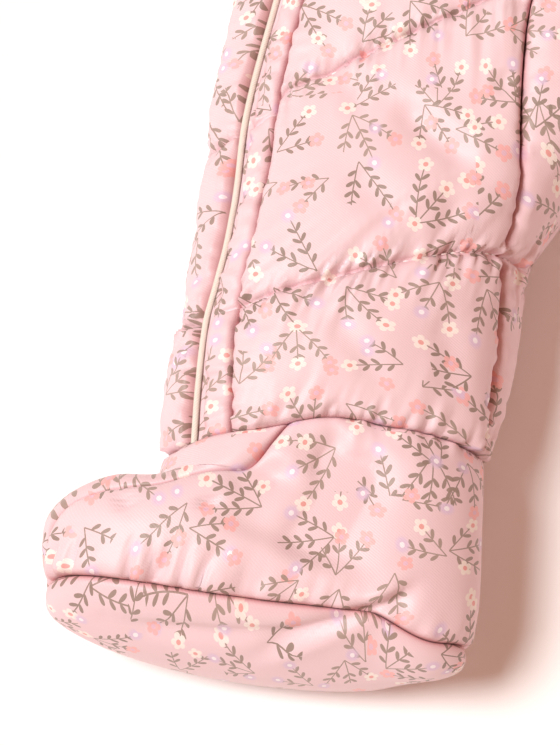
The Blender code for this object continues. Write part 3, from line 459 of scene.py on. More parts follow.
def sleeve_surface(count=65):
    edge, normals = armhole()
    along = lengths(edge)
    wanted = np.linspace(0, along[-1], count)
    base = on_line(wanted, along, edge)
    base_normals = on_line(wanted, along, normals)
    turn = 2 * math.pi * np.linspace(0, 1, count)
    outward = np.array([math.cos(SLEEVE_ANGLE), math.sin(SLEEVE_ANGLE), 0.0])
    sideways = np.array([-outward[1], outward[0], 0.0])
    start = np.array([*SLEEVE_START, 0.0])
    steps = np.linspace(0, SLEEVE[-1][0] + CUFF_LENGTH, 70)
    rings = []
    for step in steps:
        c = read(SLEEVE, SLEEVE_COLUMNS, min(step, SLEEVE[-1][0]))
        middle = (c["top"] + FLOOR) / 2
        reach = (c["top"] - FLOOR) / 2
        cosine, sine = np.cos(turn), np.sin(turn)
        wide = -bent(cosine, SLEEVE_POWERS[0]) * c["half_width"]
        high = bent(sine, SLEEVE_POWERS[1]) * reach + middle
        ring = start + outward * step + sideways * wide[:, None]
        ring[:, 2] = high
        rings.append(ring)
    rings = np.stack(rings)
    last = int(np.searchsorted(steps, SLEEVE_BLEND))
    chord = rings[last] - base
    leaving = outward * np.linalg.norm(chord, axis=1)[:, None]
    for n in range(last):
        u = steps[n] / steps[last]
        rings[n] = base + chord * (u + u * u * (1 - u)) - leaving * u * u * (1 - u)
    surface = Surface(steps, rings)
    surface.close()
    inward = np.einsum("ij,ij->i", surface.normals[0], base_normals)
    if inward.sum() < 0:
        surface.normals *= -1
    shared = unit(surface.normals[0] + unit(base_normals))
    surface.normals[0] = shared
    return surface, shared


def fit_armhole(surface_shared):
    """Turns the body's normals at the armhole to those that the sleeve starts with, so the two meet flush."""
    rows = front.rows[front.rows <= ARMHOLE_ROW]
    edge, _ = armhole()
    along = lengths(edge) / lengths(edge)[-1]
    steps = np.linspace(0, ARMHOLE_ROW, ARMHOLE_POINTS)
    over = np.interp(rows, steps, along[:ARMHOLE_POINTS][::-1])
    under = np.interp(rows, steps, along[ARMHOLE_POINTS - 1 :])
    places = np.linspace(0, 1, len(surface_shared))
    for body, end, where in ((front, -1, over), (back, 0, under)):
        turned = on_line(where, places, surface_shared)
        body.normals[: len(rows), end] = unit(turned)


def hood_ring(row):
    c = read(HOOD, HOOD_COLUMNS, row)
    closing = dome(HOOD[-1][0] - row, HOOD_CLOSING)
    halves = []
    for power, height, end_y in (
        (FRONT_POWER, c["top"] - c["side_z"], c["front_y"]),
        (BACK_POWER, FLOOR - c["side_z"], c["back_y"]),
    ):
        angle = np.linspace(0, math.pi / 2, 81)
        w = c["side_w"] * np.abs(np.sin(angle)) ** (2 / power)
        rise = np.abs(np.cos(angle)) ** (2 / power)
        y = c["side_y"] + (end_y - c["side_y"]) * rise
        halves.append(np.stack([w, y, c["side_z"] + height * rise * closing], axis=1))
    return np.concatenate([halves[0], halves[1][::-1][1:]])


def neck_ring():
    """The body's neck edge, from the centre front round the side of the neck to the centre back."""
    over, over_normals = front.points[0], front.normals[0]
    under, under_normals = back.points[0], back.normals[0]
    inside_front = over[:, 0] <= NECK_HALF
    inside_back = under[:, 0] <= NECK_HALF
    points = np.concatenate([over[inside_front], under[inside_back]])
    normals = np.concatenate([over_normals[inside_front], under_normals[inside_back]])
    return points, normals


def hood_surface(count=HOOD_POINTS):
    neck, neck_normals = neck_ring()
    along = lengths(neck)
    wanted = np.linspace(0, along[-1], count)
    base = on_line(wanted, along, neck)
    base_normals = on_line(wanted, along, neck_normals)
    rows = np.linspace(0, HOOD[-1][0], 85)
    rings = []
    for row in rows:
        share = np.clip(row, 0, 1)
        grown = smooth(share)
        ring = spread(hood_ring(row), count)
        advance = ring - spread(hood_ring(0.0), count)
        rings.append((base + advance) * (1 - grown) + ring * grown)
    surface = Surface(rows, np.stack(rings))
    surface.normals *= -1
    for end in (0, -1):
        surface.normals[:, end, 0] = 0
    surface.normals = unit(surface.normals)
    surface.normals[0] = unit(base_normals)
    half = (count - 1) // 2
    surface.normals[-1] = unit(surface.points[-1, :, :1] * [[1.0, 0.0, 0.0]] + [[0.0, 40.0, 0.0]])
    surface.points[-1, half + 1 :] = surface.points[-1, :half][::-1]
    return surface


def hood_opening(surface, rows):
    """How far across each row the face opening, or past it the centre strip, ends."""
    wanted = read_column(HOOD, HOOD_COLUMNS, "opening", rows)
    found = []
    for row, w in zip(rows, wanted):
        front_part = outwards(surface.line(row, HOOD_POINTS)[0])
        found.append(float(np.interp(w, front_part[:, 0], lengths(front_part))))
    return np.array(found)


def foot_ring(ring, count):
    """A closed ring round the bootie: from the heel over the inner side, which lies on top, to the toe."""
    c = read(FOOT, FOOT_COLUMNS, ring)
    turn = 2 * math.pi * np.linspace(0, 1, 721)
    cosine, sine = np.cos(turn), np.sin(turn)
    v = -bent(cosine, c["power"])
    lift = bent(sine, c["power"])
    w = (c["heel_w"] + c["toe_w"]) / 2 + (c["toe_w"] - c["heel_w"]) / 2 * v
    z = (c["top"] + c["low"]) / 2 + (c["top"] - c["low"]) / 2 * lift
    share = (v + 1) / 2
    bend = 4 * share * (1 - share)
    straight = c["heel_y"] + (c["toe_y"] - c["heel_y"]) * share
    y = straight + bend * (c["middle_y"] - (c["heel_y"] + c["toe_y"]) / 2)
    y = y + c["slant"] * (z - (c["top"] + c["low"]) / 2)
    return spread(np.stack([w, y, z], axis=1), count)


def ankle_ring(count):
    """The body's last ring, turned to start at the heel."""
    over, under = front.line(ANKLE_ROW)[0], back.line(ANKLE_ROW)[0]
    return spread(np.concatenate([over, under[1:]]), count)


def foot_surface(count=145):
    rings = np.linspace(0, SOLE_RING, 65)
    low = ankle_ring(count)
    shape = [foot_ring(ring, count) for ring in rings]
    points = []
    for ring, line in zip(rings, shape):
        share = np.clip(ring, 0, 1)
        grown = smooth(share)
        points.append((low + line - shape[0]) * (1 - grown) + line * grown)
    points = np.stack(points)
    lower = np.clip((rings - 2.0) / 2.0, 0, 1)[:, None] ** 1.5
    heel = np.clip((117 - points[..., 0]) / 20, 0, 1)
    high = np.clip((points[..., 2] - 28) / 20, -1, 1)
    points[..., 1] += lower * smooth(heel) * (-1.5 - 8.3 * high)
    surface = Surface(rings, points)
    surface.close()
    over_normals = front.line(ANKLE_ROW)[1]
    if np.sum(surface.normals[0, :60] * over_normals[:60]) < 0:
        surface.normals *= -1
    return surface


def foot_columns(rings, name):
    """Shares across each ring for the columns of one piece."""
    vamp = read_column(VAMP, VAMP_COLUMNS, "seam", rings)
    gap = HALF_GAP / 260  # as a share of the way round
    starts = {"foot_inner": gap + 0 * vamp, "vamp": vamp + gap, "foot_outer": 1 - vamp + gap}
    ends = {"foot_inner": vamp - gap, "vamp": 1 - vamp - gap, "foot_outer": 1 - gap + 0 * vamp}
    return starts[name], ends[name]


def even(start, end, count):
    """Distances across a panel, with closer columns along its seams."""
    wide = (end - start)[:, None]
    near = np.array([0.0, 0.3, 0.75, 1.4, 2.3]) * np.clip(wide / 12.0, 0.02, 1)
    inside = near[:, -1:] + (wide - 2 * near[:, -1:]) * np.linspace(0, 1, count + 1)
    return start[:, None] + np.concatenate([near[:, :-1], inside, wide - near[:, -2::-1]], axis=1)


# ------------------------------------------------------------------------------------------- the padded cloth

LINE_PITCH = 55.0  # between two quilted lines of the body
LOW_LINE_PITCH = 46.0  # and from the last one to the ankle
MARKED_LENGTH = 52  # a row's length, when the points along it are counted
HOOD_LINE_PITCH = 33.0  # a hood row's length, in distances from a quilted line
HOOD_ROW_LENGTH = 22  # and at the cap
RING_RISE = 13.0  # a foot ring's length, in distances from the ankle and sole seams
BACK_SHEET = 300.0  # how far up the flat cloth the back is cut from
COARSE = 3.2  # distance between a panel's points where it is far from the camera
FINE = 1.2  # and where it is near
FINE_ROW = 5.4
LIFT = 0.09  # how many rows higher than the CAD's the left front's quilted line over the knee lies
THIN = 1.7  # how far the face of the cloth is from its inside on a stitched line
THICK = 8.6
HELD = 0.2  # how much of the full height is left on a quilted line
SEAM_RISES = (0.40, 0.24, 0.36)  # how much of the rise beside a seam is quick, slower and slow
LINE_RISES = (0.24, 0.30, 0.46)  # the same beside a quilted line
CRISP = 1.4  # how far from a stitched line the padding's first, steep rise ends
# Where the points across the flap lie, closer together at its stitches and its free edge.
FLAP_SHARES = (0, 0.04, 0.1, 0.18, 0.27, 0.36, 0.45, 0.54, 0.62, 0.7, 0.76, 0.8, 0.84, 0.88, 0.92, 0.96, 1)
FOOT_THIN = 1.9  # a bootie's cloth at its seams
FOOT_THICK = 6.8
SOLE_ROUND = 14.0  # how far from its seam the sole is at its thickest
SOLE_ENDS = 34.0  # how far from its ends it bulges wholly
SOLE_WIDTH = 38
SOLE_CROWN = 3.9  # how much thicker than at its seam the sole is
FLAP_LIFT = TAPE_THICKNESS + SEAM_GAP  # how high the flap lies above the inside of the front
LIP = 1.9  # from the flap's free edge in to its line of stitches
PAINTED_SHADE_REACH = 0.7  # how far from a stitched line or seam the painted shade reaches, which darkens the colour in its groove
SEED = 20
THINNEST = 1.2  # the least that wrinkles may leave of the cloth's thickness
# Wrinkles beside seams and quilted lines: how far apart they are, how high, and how far they reach.
LINE_GATHERS = (1.5, 3.0, 2.4)
LINE_PUCKERS = (3.4, 2.6, 7.0)
LINE_TUCKS = (4.2, 1.8, 5.0)
LEFT_GATHERS = (2.4, 2.0, 3.5)
RIGHT_GATHERS = (2.4, 2.6, 4.5)
FLAP_GATHERS = (1.9, 2.2, 3.5)
FLAP_TUCKS = (3.6, 1.8, 6.0)
FLAP_SEAM_GATHERS = (3.0, 1.4, 4.0)
SLEEVE_GATHERS = (8.0, 0.9, 8.0)
HOOD_GATHERS = (7.0, 0.8, 8.0)
FOOT_GATHERS = (3.4, 1.6, 5.0)
SOLE_TUCKS = (5.2, 4.6, 8.0)
# How the ankle seam settles: where, how wide and how far, at the instep, the heel and over the toe.
INSTEP = (126, 17, 4.2)
HEEL = (98, 14, 2.6)
TOE = (176, 10, 3.6)
TOE_BELOW = 5  # how far below the seam the toe's part is strongest
TOE_FADE = 150  # how it fades from there, in square millimetres
SETTLED_REACH = 20  # how far from the ankle seam the cloth follows it
UPPER_SIDE = 20  # the height from which it does so, and wholly from twice as high
# The picture's upright direction along y and z, and the height that its plane passes through.
UPRIGHT = (0.966, 0.259)
PLANE_HEIGHT = 28


def noise(x, y, seed):
    """Smooth noise from -1 to 1 over the plane."""
    table = np.random.default_rng(seed).uniform(-1, 1, (64, 64))
    x, y = np.broadcast_arrays(x, y)
    i, j = np.floor(x).astype(int), np.floor(y).astype(int)
    u, v = x - i, y - j
    u, v = smooth(u), smooth(v)
    a, b = table[i % 64, j % 64], table[(i + 1) % 64, j % 64]
    c, d = table[i % 64, (j + 1) % 64], table[(i + 1) % 64, (j + 1) % 64]
    return (a * (1 - u) + b * u) * (1 - v) + (c * (1 - u) + d * u) * v


def swell(distance, reach, rises=SEAM_RISES):
    """How full the padding is at a distance from a stitched line: a quick rise, then slower ones."""
    quick, slower, slow = rises
    full = quick * dome(distance, CRISP) + slower * dome(distance, 0.3 * reach)
    return full + slow * dome(distance, reach)


def quilt(from_line, from_seam):
    """How thick the padded cloth is between quilted lines and seams."""
    line = swell(from_line, ROUND_ROW, LINE_RISES)
    return THIN + (THICK - THIN) * swell(from_seam, ROUND_SEAM) * (HELD + (1 - HELD) * line)


def gathers(along, distance, seed, pitch, height, reach):
    """Puckers that run out from a stitched line and fade."""
    fade = np.exp(-distance / reach) * np.clip(distance / 0.6, 0, 1)
    folds = noise(along / pitch, distance / (reach * 2.5) + 7.3, seed)
    finer = noise(along / pitch * 2.1 + 3.1, distance / reach, seed + 1)
    strength = 0.75 + 0.6 * noise(along / (pitch * 4.0), 0.5 + 0 * along, seed + 2)
    return height * fade * strength * (folds + 0.4 * finer)


def tucks(along, distance, seed, pitch, depth, reach):
    """Sharp little tucks that run out from a seam where more cloth is eased onto less."""
    place = noise(along / pitch, distance / (reach * 3) + 2.1, seed)
    uneven = 0.7 + 0.5 * noise(along / (pitch * 2.3), 0.5 + 0 * along, seed + 1)
    fade = np.exp(-((distance / reach) ** 2)) * np.clip(0.35 + distance / 1.5, 0, 1)
    return depth * fade * uneven * (0.35 - np.exp(-((place / 0.22) ** 2)))


# Folds, given one by one. Each is a line in the camera's plane, in mm from the centre of the garment and up
# from the ankle seam, then its width, its depth, and how far the cloth on its left stands above the other.
LEG_FOLDS = (
    (((-108.8, 104.4), (-98.9, 95.1), (-91.4, 89.3), (-83.8, 83.5)), 4.6, 2.6, 1.0),
    (((-90.5, 78.3), (-92.8, 66.7), (-94.8, 55.7)), 4.5, 1.6, 0.0),
    (((-77.4, 111.7), (-76.5, 105.9)), 3.5, 1.6, 0.0),
    (((-127.0, 116.0), (-120.5, 107.3), (-118.0, 98.6)), 4.5, 1.3, 0.0),
    (((-122.0, 84.0), (-112.0, 74.0), (-106.0, 66.0)), 6.0, 1.2, 0.0),
    (((-128.0, 43.0), (-118.0, 30.0), (-112.0, 18.0)), 5.0, 1.2, 0.0),
    (((-96.0, 44.0), (-92.0, 30.0), (-93.0, 16.0)), 5.0, 1.2, 0.0),
)
FOOT_FOLDS = (
    (((-118.0, 6.0), (-124.0, -11.0), (-133.0, -32.0)), 15.0, 6.2, 0.0),
    (((-140.0, 2.0), (-148.0, -10.0), (-152.0, -22.0)), 9.0, 3.0, 0.0),
    (((-121.5, -41.8), (-115.4, -40.6), (-109.3, -37.9), (-104.7, -35.2)), 1.8, 3.4, 2.6),
    (((-122.5, 7.0), (-127.5, 1.5), (-130.0, -6.0)), 3.5, 1.6, 0.0),
    (((-139.0, -4.0), (-146.0, -3.0), (-157.0, -5.0)), 3.0, 1.6, 0.0),
    (((-112.0, 5.0), (-117.0, -6.0), (-128.0, -17.0), (-144.0, -25.0)), 6.0, 1.8, 0.0),
    (((-160.4, -8.5), (-162.0, -12.5)), 2.2, 2.0, 0.0),
    (((-186.0, -8.0), (-184.0, -13.0)), 2.2, 1.6, 0.0),
)
SOLE_FOLDS = (
    (((-116.3, -42.3), (-128.2, -47.0), (-139.8, -52.2), (-149.0, -55.7)), 1.8, 1.8, 1.2),
    (((-122.4, -44.1), (-138.3, -48.7), (-157.2, -49.3), (-179.0, -47.6), (-190.5, -44.1)), 2.6, 2.2, 0.0),
)


def hand_folds(points, folds):
    """How far folds lift the cloth at points, in the camera's plane."""
    x = points[..., 0]
    y = UPRIGHT[0] * points[..., 1] + UPRIGHT[1] * (points[..., 2] - PLANE_HEIGHT)
    lifted = np.zeros(x.shape)
    for line, width, dip, step in folds:
        line = np.array(line)
        total = lengths(line)[-1]
        nearest = np.full(x.shape, FAR)
        signed, along = np.zeros(x.shape), np.zeros(x.shape)
        for first, second, done in zip(line[:-1], line[1:], lengths(line)):
            ahead = second - first
            size = math.hypot(*ahead)
            t = np.clip(((x - first[0]) * ahead[0] + (y - first[1]) * ahead[1]) / size**2, 0, 1)
            away_x, away_y = x - first[0] - t * ahead[0], y - first[1] - t * ahead[1]
            away = np.hypot(away_x, away_y)
            closer = away < nearest
            nearest = np.where(closer, away, nearest)
            signed = np.where(closer, (ahead[0] * away_y - ahead[1] * away_x) / size, signed)
            along = np.where(closer, (done + t * size) / total, along)
        ends = np.clip(np.minimum(along, 1 - along) * 4, 0, 1)
        ends = 0.25 + 0.75 * smooth(ends)
        s = nearest / width
        lifted += ends * np.exp(-s * s) * -dip + ends * step * (signed / width) * np.exp(-s * s / 3)
    return lifted


class Cloth:
    """Padded cloth for one piece: grids of points on its inside and on its face, closed at the edges."""

    def __init__(self, name):
        self.name = name
        self.inside = []
        self.face = []
        self.sheet = []
        self.painted_shade = []
        self.quads = []
        self.total = 0

    def add(self, inner, outer, sheet, from_stitch=FAR):
        """A grid of points as arrays (rows, columns, xyz), and where each lies on the flat cloth."""
        outer = outer.copy()
        outer[..., 2] = np.maximum(outer[..., 2], 0.0)
        rows, columns = inner.shape[:2]
        ids = self.total + np.arange(rows * columns).reshape(rows, columns)
        across = outer[:-1, 1:] - outer[1:, :-1]
        down = outer[1:, 1:] - outer[:-1, :-1]
        outward = np.sum(np.cross(across, down) * (outer - inner)[:-1, :-1]) > 0
        quads = np.stack([ids[:-1, :-1], ids[:-1, 1:], ids[1:, 1:], ids[1:, :-1]], axis=-1).reshape(-1, 4)
        self.quads.append(quads if outward else quads[:, ::-1])
        self.inside.append(inner.reshape(-1, 3))
        self.face.append(outer.reshape(-1, 3))
        self.sheet.append(sheet.reshape(-1, 2))
        # painted shade for each point: 1 on a stitched line or seam, fading away from it
        self.painted_shade.append(np.broadcast_to(np.exp(-from_stitch / PAINTED_SHADE_REACH), (rows, columns)).reshape(-1))
        self.total += rows * columns

    def lay(self, points, normals, thick, trim, side, across, up=0.0, from_stitch=FAR):
        """Cloth on a surface, trimmed to its seams. It lies flat at across, and at its height y and up."""
        inner, outer = trim(points), trim(points + normals * thick[..., None])
        sheet = np.stack([across, inner[..., 1] + up], axis=-1)
        self.add(placed(inner, side), placed(outer, side), sheet, from_stitch)

    def make(self, material):
        inner, outer = np.concatenate(self.inside), np.concatenate(self.face)
        sheet, quads = np.concatenate(self.sheet), np.concatenate(self.quads)
        key = np.round(np.concatenate([inner, outer], axis=1) * 200).astype(np.int64)
        _, kept, joined = np.unique(key, axis=0, return_index=True, return_inverse=True)
        joined = joined.reshape(-1)
        corners = joined[quads]
        count = len(kept)
        inner, outer = inner[kept], outer[kept]
        painted_shade = np.concatenate(self.painted_shade)[kept]
        sides = np.stack([corners, np.roll(corners, -1, axis=1)], axis=-1).reshape(-1, 2)
        same = sides[:, 0] == sides[:, 1]
        code = sides[:, 0] * count + sides[:, 1]
        back_code = sides[:, 1] * count + sides[:, 0]
        free = ~np.isin(code, back_code) & ~same
        rim_sheet = np.stack([quads, np.roll(quads, -1, axis=1)], axis=-1).reshape(-1, 2)[free]
        rim = sides[free]
        faces = np.concatenate([
            corners,
            corners[:, ::-1] + count,
            np.stack([rim[:, 1], rim[:, 0], rim[:, 0] + count, rim[:, 1] + count], axis=1),
        ])
        flat = np.concatenate([
            quads,
            quads[:, ::-1],
            np.stack([rim_sheet[:, 1], rim_sheet[:, 0], rim_sheet[:, 0], rim_sheet[:, 1]], axis=1),
        ])
        points = np.concatenate([outer, inner]) - [0.0, MIDDLE_Y, 0.0]
        return make_mesh(self.name, points, faces, sheet[flat], material, np.tile(painted_shade, 2))


def settled(points):
    """Over each foot the cloth near the ankle seam arches up at the instep and falls towards the heel."""
    x, up = np.abs(points[..., 0]), points[..., 1] + MIDDLE_Y - ANKLE_Y
    arch = INSTEP[2] * np.exp(-(((x - INSTEP[0]) / INSTEP[1]) ** 2))
    arch = arch - HEEL[2] * np.clip((HEEL[0] - x) / HEEL[1], 0, 1)
    arch -= TOE[2] * np.exp(-(((x - TOE[0]) / TOE[1]) ** 2) - (up + TOE_BELOW) ** 2 / TOE_FADE)
    moved = points.copy()
    on_top = np.clip((points[..., 2] - UPPER_SIDE) / UPPER_SIDE, 0, 1)
    moved[..., 1] += arch * np.exp(-((up / SETTLED_REACH) ** 2)) * on_top
    return moved


def make_mesh(name, points, faces, sheet, material, painted_shade=None):
    """A smooth mesh of quads, in which corners of a face that fall together are joined."""
    points = settled(points)
    mesh = bpy.data.meshes.new(name)
    different = faces != np.roll(faces, 1, axis=1)
    sizes = different.sum(axis=1)
    good = sizes >= 3
    faces, sheet, different, sizes = faces[good], sheet[good], different[good], sizes[good]
    loops = faces[different]
    mesh.vertices.add(len(points))
    mesh.vertices.foreach_set("co", (points * MM).astype(np.float32).reshape(-1))
    mesh.loops.add(len(loops))
    mesh.loops.foreach_set("vertex_index", loops.astype(np.int32))
    mesh.polygons.add(len(faces))
    starts = np.concatenate([[0], np.cumsum(sizes)[:-1]]).astype(np.int32)
    mesh.polygons.foreach_set("loop_start", starts)
    mesh.polygons.foreach_set("loop_total", sizes.astype(np.int32))
    mesh.update(calc_edges=True)
    layer = mesh.uv_layers.new(name="Cloth")
    layer.data.foreach_set("uv", (sheet[different] * 0.01).astype(np.float32).reshape(-1))
    mesh.polygons.foreach_set("use_smooth", np.ones(len(faces), bool))
    # the painted shade goes to the material as a point attribute
    if painted_shade is not None:
        depth = mesh.attributes.new("PaintedShade", "FLOAT", "POINT")
        depth.data.foreach_set("value", painted_shade.astype(np.float32))
    mesh.validate()
    mesh.materials.append(material)
    made = bpy.data.objects.new(name, mesh)
    bpy.context.scene.collection.objects.link(made)
    return made


def finish_piece(made, node):
    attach(made, "root")
    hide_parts(node)


def sew(piece, material, node):
    """Makes a padded piece that stands for a node."""
    made = piece.make(material)
    finish_piece(made, node)


def marks(start, end):
    """Body rows between two rows, closer together on the leg that the camera sees."""
    found = [start, end]
    for line in range(int(start), int(math.ceil(end))):
        for low, high, step in ((0.0, 0.4, 0), (0.4, 1.0, 1)):
            fine = line + high > FINE_ROW
            count = int(round((high - low) * MARKED_LENGTH / (FINE if fine else COARSE)))
            found += list(line + low + (high - low) * np.arange(count) / count)
    lines = [line for line in range(1, 9) if line > FINE_ROW]
    beside = np.array([0.0, 0.008, 0.018, 0.031])
    beside = np.concatenate([-beside, beside])
    found += [line + step for line in lines for step in beside]
    found += list(7 - LIFT * 0.85 + beside)
    gap = HALF_GAP / ROW_LENGTH
    inside = [m for m in found if start < m < end]
    first = start if start in (0.0, GUSSET_TOP_ROW) else start + gap
    last = end if end in (ANKLE_ROW, GUSSET_TOP_ROW) else end - gap
    rows = np.unique(np.round([first] + inside + [last], 4))
    keep = np.concatenate([[True], np.diff(rows) > 0.006])
    keep[-1] = True
    rows = rows[keep]
    rows[0], rows[-1] = first, last
    return rows


def line_distance(rows, lift=0.0):
    near = np.clip(1 - np.abs(rows - 7) / 0.5, 0, 1)
    rows = rows + lift * near
    pitch = np.where(rows > 8, LOW_LINE_PITCH, LINE_PITCH)
    return np.abs(rows - np.round(rows)) * pitch


def arc_of(points):
    """How far round the body each point of a grid lies from the grid's first column."""
    step = np.diff(points, axis=1)
    arc = np.cumsum(np.hypot(step[..., 0], step[..., 2]), axis=1)
    return np.concatenate([np.zeros((len(points), 1)), arc], axis=1)


def side_reach(surface, rows):
    """How far from the centre line of the flat cloth the body's outer edge lies."""
    held = np.minimum(rows, 6.0)
    whole, _ = surface.read(held[:, None], np.linspace(0, 1, BODY_POINTS)[None, :])
    wide = read_column(BODY, BODY_COLUMNS, "side_w", rows)
    start = read_column(BODY, BODY_COLUMNS, "inner_w", held)
    held_wide = read_column(BODY, BODY_COLUMNS, "side_w", held)
    return arc_of(whole)[:, -1] + start + wide - held_wide


def body_panel(cloth, surface, side, rows, start, end, count, seams=None, above=False, seed=0, lift=0.0):
    widths = surface.width(rows)
    across = even(start, end, count)
    left, right = seams if seams else (start, end)
    from_left = np.maximum(across - left[:, None], 0)
    from_right = np.maximum(right[:, None] - across, 0)
    if above:
        over = np.maximum(GUSSET_TOP_ROW - rows, 0)[:, None] * LINE_PITCH
        near = from_left if surface is front else from_right
        near = np.hypot(near, over)
        from_left, from_right = (near, from_right) if surface is front else (from_left, near)
    points, normals = surface.read(rows[:, None], across / widths[:, None])
    from_line = line_distance(rows, lift)[:, None]
    from_seam = np.minimum(from_left, from_right)
    thick = quilt(from_line, from_seam)
    up = points[..., 1]
    along = across + rows.round()[:, None] * 91.0
    wrinkles = gathers(along, from_line, SEED + seed, *LINE_GATHERS)
    wrinkles += gathers(along, from_line, SEED + seed + 3, *LINE_PUCKERS)
    wrinkles += tucks(along + 13.0, from_line, SEED + seed + 7, *LINE_TUCKS)
    wrinkles += gathers(up + 37.0 * seed, from_left, SEED + seed + 11, *LEFT_GATHERS)
    wrinkles += gathers(up + 59.0 * seed, from_right, SEED + seed + 17, *RIGHT_GATHERS)
    broad = noise(across / 17.0 + 5, up / 23.0, SEED + seed + 5) * np.clip(from_line / 14, 0, 1)
    wrinkles += 0.8 * broad * np.clip(from_seam / 12, 0, 1)
    off_centre = np.clip(np.abs(points[..., 0]) / 12, 0, 1)  # both halves meet smoothly at the centre line
    thick = np.maximum(thick + wrinkles * off_centre, THINNEST)
    over = surface is front
    if over and side < 0:
        thick = thick + hand_folds(placed(points + normals * thick[..., None], side), LEG_FOLDS)
    whole, _ = surface.read(rows[:, None], np.linspace(0, 1, BODY_POINTS)[None, :])
    from_side = arc_of(whole)
    if over:
        from_side = from_side[:, -1:] - from_side
    reach = side_reach(surface, rows)[:, None] - from_side
    share = across / widths[:, None] * (BODY_POINTS - 1)
    u = np.stack([np.interp(s, np.arange(BODY_POINTS), r) for s, r in zip(share, reach)])
    # how far each point is from a stitched line or seam, which sets the painted shade there
    from_stitch = np.minimum(from_line + 0.6, from_seam)
    trim = partial(trim_body, over=over)
    cloth.lay(points, normals, thick, trim, side, side * u, 0.0 if over else BACK_SHEET, from_stitch)


def make_fronts(cloth):
    piece = Cloth("Front_left_cloth")
    for low, high in SPANS:
        rows = marks(low, high)
        middle = gusset_seam(front, "gusset_front", rows) + HALF_GAP
        far = np.full(len(rows), FAR)
        flap = piped_edge(rows) - FLAP_WIDTH - HALF_GAP
        side = front.width(rows) - HALF_GAP
        panels = [(-1, middle, flap, 96, None), (1, middle, side, 42, None)]
        if low == 0.0:
            panels += [(sign, 0 * middle, middle, 16, (middle, far)) for sign in (-1, 1)]
        for sign, start, end, count, seams in panels:
            body_panel(piece, front, sign, rows, start, end, count, seams, above=True, seed=1, lift=LIFT)
    sew(piece, cloth, "front_left")
    rows = marks(0.0, ANKLE_ROW)
    piece = Cloth("Front_right_cloth")
    edge = piped_edge(rows) + HALF_GAP
    body_panel(piece, front, -1, rows, edge, front.width(rows) - HALF_GAP, 26, seed=3)
    sew(piece, cloth, "front_right")


def make_back(cloth):
    piece = Cloth("Back_cloth")
    for low, high in SPANS:
        rows = marks(low, high)
        start = np.full(len(rows), HALF_GAP)
        far = np.full(len(rows), FAR)
        width = back.width(rows)
        middle = width - gusset_seam(back, "gusset_back", rows) - HALF_GAP
        for sign in (-1, 1):
            body_panel(piece, back, sign, rows, start, middle, 50, above=True, seed=4)
            if low == 0.0:
                body_panel(piece, back, sign, rows, middle, width, 16, (-far, middle), above=True, seed=4)
    sew(piece, cloth, "back")


def make_gusset(cloth):
    rows = marks(GUSSET_TOP_ROW, ANKLE_ROW)
    rows[0] = GUSSET_TOP_ROW + HALF_GAP / ROW_LENGTH
    zero = np.zeros(len(rows))
    piece = Cloth("Gusset_cloth")
    over = gusset_seam(front, "gusset_front", rows) - HALF_GAP
    under = gusset_seam(back, "gusset_back", rows) - HALF_GAP
    width = back.width(rows)
    for sign, count in ((-1, 34), (1, 20)):
        body_panel(piece, front, sign, rows, zero, over, count, (-under, over), seed=7)
        body_panel(piece, back, sign, rows, width - under, width, 16, (width - under, width + over), seed=7)
    sew(piece, cloth, "inner_leg_gusset")


def raised(rows, across, heights):
    """Points over the front of the right half: across is a distance, and heights are above the inside."""
    points, normals = front.read(rows[:, None], across / front.width(rows)[:, None])
    return placed(trim_body(points + normals * heights[..., None], True), -1)


def make_zip(cloth, cord):
    rows = marks(0.0, ANKLE_ROW)
    edge = piped_edge(rows)
    flap = Cloth("Zip_flap_cloth")
    flap_edge = edge - 2 * PIPING_RADIUS - 0.1
    share = np.array(FLAP_SHARES)
    first = (edge - FLAP_WIDTH + HALF_GAP)[:, None]
    across = first + (flap_edge[:, None] - first) * share[None, :]
    from_seam = across - across[:, :1]
    from_edge = across[:, -1:] - across
    from_stitch = np.abs(from_edge - LIP)
    from_line = line_distance(rows)[:, None]
    full = swell(from_seam, 6.0) * swell(from_stitch, 6.0) * (0.35 + 0.65 * swell(from_line, 12.0))
    full = np.where(from_edge > LIP, full, 0.25 * swell(from_stitch, 2.0))
    puff = FLAP_STITCHED + (FLAP_CROWN + 0.6 - FLAP_STITCHED) * full
    low = raised(rows, across, FLAP_LIFT + 0 * across)
    up = low[..., 1]
    puff = puff + gathers(up, from_stitch, SEED + 40, *FLAP_GATHERS) * (from_edge > LIP)
    puff = puff + tucks(up, from_stitch, SEED + 46, *FLAP_TUCKS) * (from_edge > LIP)
    puff = np.maximum(puff + gathers(up, from_seam, SEED + 43, *FLAP_SEAM_GATHERS), 0.9)
    high = raised(rows, across, FLAP_LIFT + puff)
    sheet = np.stack([across - edge[:, None] + 410.0, up], axis=-1)
    # the last argument sets the painted shade along the flap's seam and its stitches
    flap.add(low, high, sheet, np.minimum(from_seam, from_stitch + 0.3))
    sew(flap, cloth, "zip_flap")
    centre = edge - PIPING_RADIUS
    middle = raised(rows, centre[:, None], np.full((len(rows), 1), FLAP_LIFT + PIPING_RADIUS + 1.4))[:, 0]
    turn = 2 * math.pi * np.arange(13) / 12
    ahead = unit(np.gradient(middle, axis=0))
    side = unit(np.cross(ahead, [0.0, 0.0, 1.0]))
    top = np.cross(side, ahead)
    ring = side[:, None] * np.cos(turn)[None, :, None] + top[:, None] * np.sin(turn)[None, :, None]
    ring = ring * PIPING_RADIUS * PIPING_SHARE
    body = middle[:, None] + ring
    faces, points = tube(body[:, :-1])
    flat = np.stack([np.tile(turn[:-1], len(rows)) * 1.2, np.repeat(lengths(middle), 12)], axis=1)
    made = make_mesh("Piping_cord", points - [0.0, MIDDLE_Y, 0.0], faces, flat[faces], cord)
    finish_piece(made, "zip_piping")


